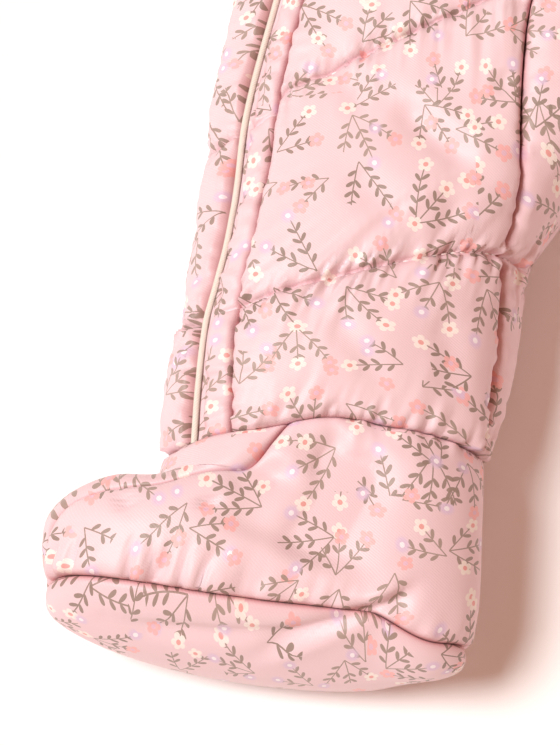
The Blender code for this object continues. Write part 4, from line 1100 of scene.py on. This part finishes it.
def tube(rings):
    """Quads round a tube of rings of points."""
    count, around = rings.shape[:2]
    ids = np.arange(count * around).reshape(count, around)
    after = np.roll(ids, -1, axis=1)
    quads = np.stack([ids[:-1], after[:-1], after[1:], ids[1:]], axis=-1).reshape(-1, 4)
    return quads, rings.reshape(-1, 3)


def make_sleeves(surface, cloth):
    end = SLEEVE[-1][0]
    rows = np.linspace(SEAM_GAP, end, int(end / COARSE))
    share = np.linspace(0, 1, SLEEVE_POINTS)
    nearest = np.min(np.abs(rows[:, None] - np.array(SLEEVE_LINES)[None, :]), axis=1)[:, None]
    points, normals = surface.read(rows[:, None], share[None, :])
    around = share[None, :] * surface.width(rows)[:, None]
    thick = quilt(nearest, FAR)
    along = around + np.floor(rows / 42)[:, None] * 50
    thick = thick + gathers(along, nearest, SEED + 60, *SLEEVE_GATHERS)
    thick = np.maximum(thick, THINNEST)
    thick[:, -1] = thick[:, 0]
    cuff_rows = end + np.array([SEAM_GAP, 1.2, 3, 5, 7, 9, 11, 13, 15, 16.8, CUFF_LENGTH])
    cuff_points, cuff_normals = surface.read(cuff_rows[:, None], share[None, :])
    drawn = CUFF_DRAWN_IN * np.sin(np.clip((cuff_rows - end) / CUFF_LENGTH, 0, 1) * math.pi)[:, None]
    ribs = 0.35 * np.cos(share * 2 * math.pi * 60)[None, :]
    for name, sign in (("right", -1), ("left", 1)):
        sleeve = Cloth(f"Sleeve_{name}_cloth")
        inner, outer = trim_sleeve(points), trim_sleeve(points + normals * thick[..., None])
        sheet = np.stack([around + 120 * sign, np.repeat(-rows[:, None], len(share), axis=1)], axis=-1)
        sleeve.add(placed(inner, sign), placed(outer, sign), sheet)
        sew(sleeve, cloth, f"sleeve_{name}")
        cuff = Cloth(f"Cuff_{name}_cloth")
        inner = cuff_points - cuff_normals * drawn[..., None]
        outer = inner + cuff_normals * (CUFF_THICKNESS + ribs)[..., None]
        turned = np.repeat(around[-1:], len(cuff_rows), axis=0)
        sheet = np.stack([turned, cuff_rows[:, None] + 0 * ribs], axis=-1)
        cuff.add(placed(inner, sign), placed(outer, sign), sheet)
        sew(cuff, cloth, f"cuff_{name}")


def hood_panel(cloth, surface, side, rows, start, end, count, thin_at, seed=0):
    across = even(start, end, count)
    points, normals = surface.read(rows[:, None], across / surface.width(rows)[:, None])
    nearest = np.min(np.abs(rows[:, None] - np.array(HOOD_LINES)[None, :]), axis=1)[:, None]
    from_line = nearest * HOOD_LINE_PITCH
    left, right = thin_at
    from_seam = np.maximum(np.minimum(across - left[:, None], right[:, None] - across), 0)
    thick = quilt(from_line, from_seam)
    along = across + rows.round()[:, None] * 71.0
    thick = thick + gathers(along, from_line, SEED + 80 + seed, *HOOD_GATHERS)
    thick = np.maximum(thick, THINNEST)
    cloth.lay(points, normals, thick, trim_hood, side, side * across + 30, 0.3 * across)


def make_hood(surface, cloth):
    rows = np.unique(np.round(np.concatenate([np.arange(0, 5.0, 0.1), [5.0], np.arange(5.1, 5.95, 0.1)]), 4))
    rows = np.append(rows, HOOD_CAP_ROW - SEAM_GAP / HOOD_ROW_LENGTH)
    width = surface.width(rows)
    opening = hood_opening(surface, rows)
    strip = width - HOOD_STRIP
    for name, sign in (("right", -1), ("left", 1)):
        side = Cloth(f"Hood_{name}_cloth")
        start = opening + HALF_GAP * (rows > 0.1)
        hood_panel(side, surface, sign, rows, start, strip - HALF_GAP, 44, (start, strip - HALF_GAP), seed=1)
        sew(side, cloth, f"hood_{name}")
    centre = Cloth("Hood_centre_cloth")
    past = np.append(rows[(rows >= HOOD_OPENING_END) & (rows < 5.95)], HOOD_CAP_ROW)
    back_rows = np.append(rows[:-1], HOOD_CAP_ROW)
    back_width = surface.width(back_rows)
    cap = np.linspace(HOOD_CAP_ROW, HOOD[-1][0], 13)
    cap_width = surface.width(cap)
    first_front = hood_opening(surface, cap[:1])[0] - HALF_GAP
    first_back = cap_width[0] - HOOD_STRIP + HALF_GAP
    share = (cap - cap[0])[1:]
    cap_front = np.concatenate([[first_front], cap_width[1:] * (0.33 + 0.07 * share)])
    cap_back = np.concatenate([[first_back], cap_width[1:] * (0.67 - 0.07 * share)])
    far = np.full(len(cap), FAR)
    edge = hood_opening(surface, past) - HALF_GAP
    zero = np.zeros(len(past))
    first = back_width - HOOD_STRIP + HALF_GAP
    for sign in (-1, 1):
        for rows, start, end, count, seams in (
            (past, zero, edge, 8, (zero - FAR, edge)),
            (back_rows, first, back_width, 8, (first, back_width + FAR)),
            (cap, 0 * far, cap_front, 8, (-far, far)),
            (cap, cap_front, cap_back, 20, (-far, far)),
            (cap, cap_back, cap_width, 8, (-far, far)),
        ):
            hood_panel(centre, surface, sign, rows, start, end, count, seams, seed=2)
    sew(centre, cloth, "hood_centre")


def make_feet(cloth):
    surface = foot_surface()
    end = SOLE_RING - HALF_GAP / RING_LENGTH
    for side, sign, step in (("right", -1, FINE), ("left", 1, COARSE)):
        rings = np.linspace(0, end, int(58 / step))
        rings = np.unique(np.concatenate([rings, [0.02, 0.05, 0.09], end - np.array([0.02, 0.05, 0.09])]))
        widths = surface.width(rings)
        from_end = (np.minimum(rings, SOLE_RING - rings) * RING_RISE)[:, None]
        for name, wide in (("foot_inner", 120), ("vamp", 32), ("foot_outer", 120)):
            start, stop = foot_columns(rings, name)
            shares = even(start * widths, stop * widths, int(wide / step)) / widths[:, None]
            points, normals = surface.read(rings[:, None], shares)
            from_seam = np.minimum(shares - start[:, None], stop[:, None] - shares) * widths[:, None]
            full = swell(from_end * 1.6, 18.0) * swell(from_seam, 12.0)
            thick = FOOT_THIN + (FOOT_THICK - FOOT_THIN) * full
            along = shares * widths[:, None]
            thick = thick + gathers(along, from_end, SEED + 100, *FOOT_GATHERS)
            from_sole = ((SOLE_RING - rings) * RING_LENGTH)[:, None]
            toe = np.clip((points[..., 0] - 130) / 25, 0, 1)
            thick = thick + (0.25 + 0.75 * toe) * tucks(along, from_sole, SEED + 104, *SOLE_TUCKS)
            if side == "right":
                thick = thick + hand_folds(placed(points + normals * thick[..., None], sign), FOOT_FOLDS)
            thick = np.maximum(thick, 1.1)
            # how far each point is from a seam, which sets the painted shade there
            from_stitch = np.minimum(np.minimum(from_end, from_sole), from_seam)
            piece = Cloth(f"{name.capitalize()}_{side}_cloth")
            piece.lay(points, normals, thick, trim_foot, sign, along * sign + 500, 0.0, from_stitch)
            sew(piece, cloth, f"{name}_{side}")
    make_soles(surface, cloth)


def make_soles(surface, cloth):
    """The sole spans the last ring from its upper edge to its lower one, bulging a little outwards."""
    shares = 0.25 - 0.25 * np.cos(math.pi * np.linspace(0, 1, 121))
    upper, upper_normals = surface.read(SOLE_RING, shares)
    lower, lower_normals = surface.read(SOLE_RING, 1 - shares)
    lower[[0, -1]] = upper[[0, -1]]
    lower_normals[[0, -1]] = upper_normals[[0, -1]]
    down = np.array([0.0, -1.0, 0.0])
    round_ends = dome(np.minimum(shares, 0.5 - shares) * surface.width(SOLE_RING), SOLE_ENDS)[:, None]
    inner, outer, sheet = [], [], []
    from_stitch, facings = [], []
    for share in 0.5 - 0.5 * np.cos(math.pi * np.linspace(0, 1, 41)):
        middle = upper * (1 - share) + lower * share
        bulge = 4 * share * (1 - share) * round_ends
        normal = unit(upper_normals * (1 - share) + lower_normals * share) * (1 - bulge)
        facing = unit(normal + down * (0.03 + 1.4 * bulge))
        base = middle + down * (SEAM_GAP * 1.2 + SOLE_BULGE * bulge)
        away = np.minimum(share, 1 - share) * np.linalg.norm(upper - lower, axis=1) + 0 * shares
        away = np.minimum(away, np.minimum(shares, 0.5 - shares) * surface.width(SOLE_RING))
        inner.append(base)
        facings.append(facing)
        outer.append(base + facing * (FOOT_THIN + SOLE_CROWN * swell(away, SOLE_ROUND))[:, None])
        from_stitch.append(away)
        sheet.append(np.stack([shares * surface.width(SOLE_RING), share * SOLE_WIDTH + 0 * shares], axis=-1))
    inner, outer, facings = np.stack(inner), np.stack(outer), np.stack(facings)
    for side, sign in (("right", -1), ("left", 1)):
        piece = Cloth(f"Sole_{side}_cloth")
        shaped = outer
        if side == "right":
            shaped = outer + facings * hand_folds(placed(outer, sign), SOLE_FOLDS)[..., None]
        piece.add(placed(inner, sign), placed(shaped, sign), np.stack(sheet), np.stack(from_stitch))
        sew(piece, cloth, f"sole_{side}")


# ------------------------------------------------------------------------------------------------- stitching

STITCH = 1.8  # a stitch's length
STITCH_PITCH = 2.9
THREAD = 0.30  # half a stitch's width


def stitches(name, lines, thread):
    """Rows of stitches. Each line is its points and the directions in which the cloth faces there."""
    points, faces = [], []
    share = np.array([-0.5, -0.42, -0.2, 0.2, 0.42, 0.5])
    wide = np.array([0.15, 0.75, 1.0, 1.0, 0.75, 0.15]) * THREAD
    turn = math.pi * np.arange(6) / 3
    for line, facing in lines:
        along = lengths(line)
        count = int(along[-1] / STITCH_PITCH)
        for n in range(count):
            at = (n + 0.5) * STITCH_PITCH + share * STITCH
            middle = on_line(at, along, line)
            up = unit(on_line(at, along, facing))
            ahead = unit(middle[-1] - middle[0])
            side = unit(np.cross(ahead, up))
            sink = 0.25 * (2 * np.abs(share)[:, None]) ** 2 * up
            ring = middle[:, None] - sink[:, None]
            ring = ring + side[:, None] * (np.cos(turn)[None, :, None] * wide[:, None, None])
            ring = ring + up[:, None] * (np.sin(turn)[None, :, None] * wide[:, None, None] * 0.9)
            quads, corners = tube(ring)
            faces.append(quads + len(points) * len(corners))
            points.append(corners)
    points, faces = np.concatenate(points), np.concatenate(faces)
    sheet = points[:, :2]
    made = make_mesh(name, points - [0.0, MIDDLE_Y, 0.0], faces, sheet[faces], thread)
    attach(made, "root")


def quilted_line(surface, row, start, end, side):
    """The bottom of a quilted line, from start to end across a row."""
    count = max(3, int((end - start) / 1.5))
    across = np.linspace(start, end, count)
    width = float(surface.width(row))
    points, normals = surface.read(row, across / width)
    height = quilt(0.0, np.minimum(across - start, end - across) + 1.0) + 0.15
    return placed(points + normals * height[:, None], side), placed(normals, side)


def make_stitching(sleeve, hood, thread):
    lines = []
    for row in range(1, 9):
        at = np.array([float(row)])
        edge = float(piped_edge(at)[0])
        wide = float(front.width(row))
        gusset = float(gusset_seam(front, "gusset_front", at)[0]) if row >= 7 else 0.0
        for side, start, end in (
            (-1, gusset + 1, edge - FLAP_WIDTH - 1),
            (-1, edge + 1, wide - 1),
            (1, gusset + 1, wide - 1),
        ):
            if end - start > 6:
                place = row - LIFT * 0.85 if row == 7 and (side == 1 or start < edge) else row
                lines.append(quilted_line(front, place, start, end, side))
        back_wide = float(back.width(row))
        under = float(gusset_seam(back, "gusset_back", at)[0]) if row >= 7 else 0.0
        for side in (-1, 1):
            lines.append(quilted_line(back, row, 2, back_wide - under - 1, side))
            if row >= 7:
                lines.append(quilted_line(front, row, 1, gusset - 1, side))
    stitches("Stitching_body", lines, thread)
    rows = marks(0.0, ANKLE_ROW)
    edge = piped_edge(rows)
    inside = (edge - 2 * PIPING_RADIUS - 0.1 - LIP)[:, None]
    line = raised(rows, inside, np.full((len(rows), 1), FLAP_LIFT + 1.65))[:, 0]
    _, normals = front.read(rows, inside[:, 0] / front.width(rows))
    stitches("Stitching_flap", [(line[2:-2], placed(normals, -1)[2:-2])], thread)
    lines = []
    for place in SLEEVE_LINES[1:-1]:
        points, normals = sleeve.line(place, SLEEVE_POINTS)
        for side in (-1, 1):
            lines.append((placed(points + normals * (quilt(0.0, FAR) + 0.15), side), placed(normals, side)))
    for row in HOOD_LINES[1:]:
        wide = float(hood.width(row))
        first = float(hood_opening(hood, np.array([row]))[0])
        for side in (-1, 1):
            lines.append(quilted_line(hood, row, first + 1, wide - HOOD_STRIP - 1, side))
            lines.append(quilted_line(hood, row, wide - HOOD_STRIP + 1, wide - 0.5, side))
    stitches("Stitching_sleeves_hood", lines, thread)


# ---------------------------------------------------------------------------------------------- materials


def linear(red, green, blue):
    """A colour as it looks on a screen, from 0 to 255, in the numbers that a shader takes."""
    found = []
    for value in (red, green, blue):
        share = value / 255
        found.append(share / 12.92 if share <= 0.04045 else ((share + 0.055) / 1.055) ** 2.4)
    return (*found, 1.0)


class Graph:
    """Makes a material's nodes with one call for each sum."""

    def __init__(self, name):
        self.material = bpy.data.materials.new(name)
        self.material.use_nodes = True
        self.tree = self.material.node_tree
        self.shader = self.tree.nodes["Principled BSDF"]
        self.place = 0

    def node(self, kind, **settings):
        made = self.tree.nodes.new(kind)
        for key, value in settings.items():
            setattr(made, key, value)
        made.location = (-200 - 180 * (self.place // 12), -160 * (self.place % 12))
        self.place += 1
        return made

    def feed(self, made, values, sockets=None):
        for n, value in enumerate(values):
            socket = made.inputs[sockets[n] if sockets else n]
            if isinstance(value, bpy.types.NodeSocket):
                self.tree.links.new(value, socket)
            else:
                socket.default_value = value
        return made

    def math(self, operation, *values):
        return self.feed(self.node("ShaderNodeMath", operation=operation), values).outputs[0]

    def vector(self, operation, *values):
        return self.feed(self.node("ShaderNodeVectorMath", operation=operation), values).outputs[0]

    def blend(self, share, first, second):
        made = self.node("ShaderNodeMix", data_type="RGBA")
        self.feed(made, (share, first, second), (0, 6, 7))
        return made.outputs[2]

    def between(self, share, first, second):
        made = self.node("ShaderNodeMix", data_type="FLOAT")
        self.feed(made, (share, first, second), (0, 2, 3))
        return made.outputs[0]

    def apart(self, value):
        return self.feed(self.node("ShaderNodeSeparateXYZ"), (value,)).outputs

    def scaled(self, value, factor, more):
        """value * factor + more"""
        return self.math("MULTIPLY_ADD", value, factor, more)

    def both(self, first, second):
        """One number times another, and so where both of two masks are 1."""
        return self.math("MULTIPLY", first, second)

    def turned(self, vector, turn):
        made = self.node("ShaderNodeVectorRotate", rotation_type="Z_AXIS")
        self.feed(made, (vector, self.both(turn, FULL_TURN)), ("Vector", "Angle"))
        return self.apart(made.outputs[0])

    def cloth_map(self):
        """Where a point lies on the flat cloth, in millimetres."""
        flat = self.node("ShaderNodeUVMap", uv_map="Cloth").outputs[0]
        return self.vector("SCALE", flat, (0, 0, 0), (0, 0, 0), 100.0)

    def finish(self, colour, roughness, height, strength, depth, **others):
        """Gives the shader its colour, roughness and bump, and its other inputs by their names."""
        bump = self.node("ShaderNodeBump")
        self.feed(bump, (strength, depth, height), ("Strength", "Distance", "Height"))
        self.feed(self.shader, (colour, roughness, bump.outputs[0]), ("Base Color", "Roughness", "Normal"))
        self.feed(self.shader, others.values(), [name.replace("_", " ") for name in others])
        return self.material

    def cells(self, place, feature, pitch, randomness):
        made = self.node("ShaderNodeTexVoronoi", voronoi_dimensions="2D", feature=feature)
        self.feed(made, (place, 1 / pitch, randomness), ("Vector", "Scale", "Randomness"))
        return made.outputs["Position"], made.outputs["Color"]

    def chance(self, place, seed):
        made = self.node("ShaderNodeTexWhiteNoise", noise_dimensions="4D")
        self.feed(made, (place, seed), (0, 1))
        return self.apart(made.outputs["Color"])

    def noise(self, place, scale, detail=2.0):
        made = self.node("ShaderNodeTexNoise", noise_dimensions="3D")
        self.feed(made, (place, scale, detail), ("Vector", "Scale", "Detail"))
        return made.outputs["Fac"]


LEAF = linear(166, 150, 138)
LEAF_DARK = linear(140, 125, 112)
PETALS = (linear(250, 243, 236), linear(246, 186, 184), linear(222, 200, 226))
HEARTS = (linear(235, 160, 156), linear(232, 196, 216), linear(252, 248, 252))
SPRIG_PITCH = 16.8
FLOWER_PITCH = 15.0
LEAF_PITCH = 3.1
FULL_TURN = 6.283
STEM_HALF = 0.17  # half a stem's width
LEAF_LENGTH = 1.35  # half a leaf's length
LEAF_MIDDLE = 1.5  # how far from its stem a leaf's middle is
LEAF_WIDTH = 0.52  # half a leaf's width
LEAF_LEAN = math.radians(42)
SPRIG_FLOWER = 2.3  # a flower's radius at the end of a stem
LOOSE_FLOWER = 2.15
PAST_STEM = 1.5  # how far past the end of its stem a flower's middle is


def flower(g, x, y, radius):
    """Where a flower's five petals are, its heart, and the soft disc of a fuzzy flower, round (0, 0)."""
    away = g.math("SQRT", g.math("ADD", g.both(x, x), g.both(y, y)))
    lobe = g.math("ABSOLUTE", g.math("COSINE", g.both(g.math("ARCTAN2", y, x), 2.5)))
    edge = g.scaled(g.math("POWER", lobe, 0.5), 0.50 * radius, 0.50 * radius)
    soft = g.node("ShaderNodeMapRange", interpolation_type="SMOOTHSTEP")
    g.feed(soft, (away, 1.12 * radius, 0.50 * radius, 0.0, 1.0))
    return g.math("LESS_THAN", away, edge), g.math("LESS_THAN", away, 0.31 * radius), soft.outputs[0]


def sprig(g, place, feature):
    """Where a sprig's leaves and the flowers at its ends are, round the nearest cell or the next one."""
    middle, _ = g.cells(place, feature, SPRIG_PITCH, 0.42)
    one, two, three = g.chance(middle, 1.0)
    four, five, six = g.chance(middle, 2.0)
    a, b, _ = g.turned(g.vector("SUBTRACT", place, middle), one)
    reach = g.scaled(two, 5.0, 12.0)
    a = g.scaled(reach, 0.58, a)
    bend = g.scaled(three, 0.022, -0.011)
    b = g.math("SUBTRACT", b, g.both(g.both(a, a), bend))
    away = g.math("SQRT", g.math("ADD", g.both(a, a), g.both(b, b)))
    angle = g.math("ARCTAN2", b, a)
    spread = g.scaled(four, 0.20, 0.56)
    share = g.math("DIVIDE", angle, spread)
    three_stems = g.math("MAXIMUM", g.math("MINIMUM", g.math("ROUND", share), 1.0), -1.0)
    two_stems = g.both(g.math("SIGN", share), 0.58)
    stem = g.between(g.math("GREATER_THAN", five, 0.5), two_stems, three_stems)
    curl = g.both(stem, g.scaled(away, -0.008, g.math("ADD", spread, 0.04)))
    off = g.math("SUBTRACT", angle, curl)
    along = g.both(away, g.math("COSINE", off))
    across = g.both(away, g.math("SINE", off))
    odd = g.math("FRACT", g.scaled(stem, 0.37, g.both(six, 7.0)))
    length = g.both(reach, g.scaled(odd, -0.34, 1.0))
    beside = g.math("ABSOLUTE", across)
    inside = g.both(g.math("LESS_THAN", along, length), g.math("GREATER_THAN", along, 0.0))
    line = g.both(g.math("LESS_THAN", beside, STEM_HALF), inside)
    shift = g.both(g.math("GREATER_THAN", across, 0.0), 0.16)
    steps = g.math("ADD", g.scaled(along, 1 / LEAF_PITCH, -0.85), shift)
    step = g.both(g.math("FRACT", steps), LEAF_PITCH)
    leaf_along = g.scaled(step, math.cos(LEAF_LEAN), g.both(beside, math.sin(LEAF_LEAN)))
    leaf_across = g.scaled(step, -math.sin(LEAF_LEAN), g.both(beside, math.cos(LEAF_LEAN)))
    p = g.scaled(leaf_along, 1 / LEAF_LENGTH, -LEAF_MIDDLE / LEAF_LENGTH)
    q = g.both(leaf_across, g.scaled(p, -0.34, 1 / LEAF_WIDTH))
    oval = g.scaled(p, p, g.both(q, q))
    between = g.math("LESS_THAN", g.both(across, stem), 0.001)
    begun = g.math("GREATER_THAN", steps, between)
    started = g.both(begun, g.math("LESS_THAN", steps, g.math("DIVIDE", length, 4.0)))
    leaves = g.both(g.math("LESS_THAN", oval, 1.0), g.both(inside, started))
    green = g.math("MAXIMUM", line, leaves)
    past = g.math("SUBTRACT", g.math("SUBTRACT", along, length), PAST_STEM)
    petals, heart, soft = flower(g, past, across, SPRIG_FLOWER)
    kind = g.math("FRACT", g.math("ADD", g.both(odd, 4.2), one))
    flowering = g.math("GREATER_THAN", g.math("FRACT", g.scaled(odd, 9.1, six)), 0.22)
    return green, g.both(petals, flowering), g.both(heart, flowering), g.both(soft, flowering), kind, six


def coloured(g, ground, petals, heart, soft, kind):
    """Paints flowers of one of three kinds on the ground: cream, coral, and a fuzzy lilac one."""
    coral = g.math("GREATER_THAN", kind, 0.40)
    fuzzy = g.math("GREATER_THAN", kind, 0.70)
    petal = g.blend(fuzzy, g.blend(coral, PETALS[0], PETALS[1]), PETALS[2])
    middle = g.blend(fuzzy, g.blend(coral, HEARTS[0], HEARTS[1]), HEARTS[2])
    shape = g.between(fuzzy, g.both(petals, 0.88), g.both(soft, 0.80))
    return g.blend(g.both(heart, 0.9), g.blend(shape, ground, petal), middle)


def printed_twill():
    """Pale pink satin twill with a small print of sprigs and flowers."""
    g = Graph("Printed twill")
    place = g.cloth_map()
    cloudy = g.noise(place, 0.045)
    colour = g.blend(cloudy, linear(238, 213, 219), linear(235, 207, 213))
    for feature in ("F2", "F1"):
        green, petals, heart, soft, kind, tone = sprig(g, place, feature)
        shade = g.blend(tone, LEAF, LEAF_DARK)
        colour = g.blend(g.both(green, 0.93), colour, shade)
        colour = coloured(g, colour, petals, heart, soft, kind)
    shifted = g.vector("ADD", place, (431.0, 217.0, 0.0))
    middle, _ = g.cells(shifted, "F1", FLOWER_PITCH, 0.6)
    kind, turn, size = g.chance(middle, 3.0)
    x, y, _ = g.turned(g.vector("SUBTRACT", shifted, middle), turn)
    petals, heart, soft = flower(g, x, y, LOOSE_FLOWER)
    chosen = g.math("GREATER_THAN", size, 0.35)
    petals, heart, soft = (g.both(part, chosen) for part in (petals, heart, soft))
    colour = coloured(g, colour, petals, heart, soft, kind)
    u, v, _ = g.apart(place)
    ribs = g.math("SINE", g.both(g.scaled(u, 0.8, v), 2 * math.pi / 0.78))
    threads = g.math("SINE", g.both(g.scaled(v, -0.55, u), 2 * math.pi / 0.66))
    ribs = g.both(ribs, g.scaled(threads, 0.4, 0.6))
    uneven = g.noise(place, 1.1, 3.0)
    weave = g.scaled(ribs, 0.5, g.both(uneven, 0.9))
    tinted = g.blend(g.scaled(ribs, 0.06, 0.06), colour, linear(196, 150, 148))
    # Painted shade: along seams and quilted lines the colour is multiplied towards a deep pink-red, standing
    # in for the shade in their grooves.
    painted_shade = g.node("ShaderNodeAttribute", attribute_name="PaintedShade").outputs["Fac"]
    painted_shade_mix = g.node("ShaderNodeMix", data_type="RGBA", blend_type="MULTIPLY")
    g.feed(painted_shade_mix, (g.both(painted_shade, 0.85), tinted, (0.74, 0.40, 0.38, 1.0)), (0, 6, 7))
    rough = g.scaled(uneven, 0.12, 0.40)
    sheen = {"Sheen_Weight": 0.12, "Sheen_Roughness": 0.45, "Sheen_Tint": (1.0, 0.93, 0.92, 1.0)}
    return g.finish(painted_shade_mix.outputs[2], rough, weave, 0.35, 0.00012, Specular_IOR_Level=0.42, **sheen)


def woven(name, light, dark, pitch, roughness, on_solid=False):
    """A plain woven band or cord. A solid has no cloth map, so there it follows the solid itself."""
    g = Graph(name)
    if on_solid:
        place = g.node("ShaderNodeTexCoord").outputs["Object"]
        place = g.vector("SCALE", place, (0, 0, 0), (0, 0, 0), 1000.0)
    else:
        place = g.cloth_map()
    u, v, _ = g.apart(place)
    ribs = g.math("SINE", g.both(g.scaled(u, 0.6, v), 2 * math.pi / pitch))
    uneven = g.noise(place, 0.8, 3.0)
    height = g.scaled(ribs, 0.5, uneven)
    share = g.scaled(ribs, 0.22, g.both(uneven, 0.55))
    return g.finish(g.blend(share, light, dark), roughness, height, 0.5, 0.0002, Sheen_Weight=0.15)


def plain(name, colour, roughness):
    g = Graph(name)
    g.feed(g.shader, ((*colour, 1.0), roughness), ("Base Color", "Roughness"))
    return g.material


printed = printed_twill()
cream = woven("Cream piping", linear(240, 233, 222), linear(216, 204, 188), 0.8, 0.55)
band = woven("Zip tape", linear(226, 160, 158), linear(196, 124, 122), 1.1, 0.7, on_solid=True)

front, back = body_surfaces()
sleeve, sleeve_start = sleeve_surface()
fit_armhole(sleeve_start)
make_fronts(printed)
make_back(printed)
make_gusset(printed)
make_zip(printed, cream)
make_sleeves(sleeve, printed)
hood = hood_surface()
make_hood(hood, printed)
make_feet(printed)
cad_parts["zip_tape"].data.materials[0] = band
thread = woven("Thread", linear(255, 244, 242), linear(246, 222, 218), 0.5, 0.5)
make_stitching(sleeve, hood, thread)

# ------------------------------------------------------------------------------- the floor, light and camera

floor_mesh = bpy.data.meshes.new("Floor")
floor_mesh.from_pydata([(-4, -4, 0), (4, -4, 0), (4, 4, 0), (-4, 4, 0)], [], [(0, 1, 2, 3)])
floor = bpy.data.objects.new("Floor", floor_mesh)
bpy.context.scene.collection.objects.link(floor)
floor_mesh.materials.append(plain("Floor", (0.98, 0.98, 0.98), 0.9))

world = bpy.data.worlds.new("Studio")
world.use_nodes = True
world.node_tree.nodes["Background"].inputs["Color"].default_value = (0.34, 0.17, 0.105, 1.0)
world.node_tree.nodes["Background"].inputs["Strength"].default_value = 1.0
bpy.context.scene.world = world


def sun(name, energy, angle, towards, colour=(1.0, 1.0, 1.0)):
    """A sun whose light comes from the direction towards."""
    light = bpy.data.lights.new(name, "SUN")
    light.energy = energy
    light.color = colour
    light.angle = math.radians(angle)
    made = bpy.data.objects.new(name, light)
    made.rotation_euler = Vector(towards).to_track_quat("Z", "Y").to_euler()
    bpy.context.scene.collection.objects.link(made)


sun("Key", 3.15, 24, (-0.62, -0.03, 1.0))
sun("Fill", 0.45, 60, (0.9, -0.3, 0.6), (1.0, 0.72, 0.62))

CAMERA_RISE = math.radians(75)  # above the floor
CAMERA_DISTANCE = 1.2
CAMERA_LENS = 199.7
CAMERA_AIM = (-0.1412, -0.2794, 0.028)  # a point on the leg, just above the ankle seam
camera_data = bpy.data.cameras.new("Camera")
camera_data.sensor_width = 36.0
camera_data.lens = CAMERA_LENS
camera = bpy.data.objects.new("Camera", camera_data)
aim = Vector(CAMERA_AIM)
camera.location = aim + CAMERA_DISTANCE * Vector((0.0, -math.cos(CAMERA_RISE), math.sin(CAMERA_RISE)))
camera.rotation_euler = (camera.location - aim).to_track_quat("Z", "Y").to_euler()
bpy.context.scene.collection.objects.link(camera)
bpy.context.scene.camera = camera
bpy.context.scene.view_settings.view_transform = "Standard"
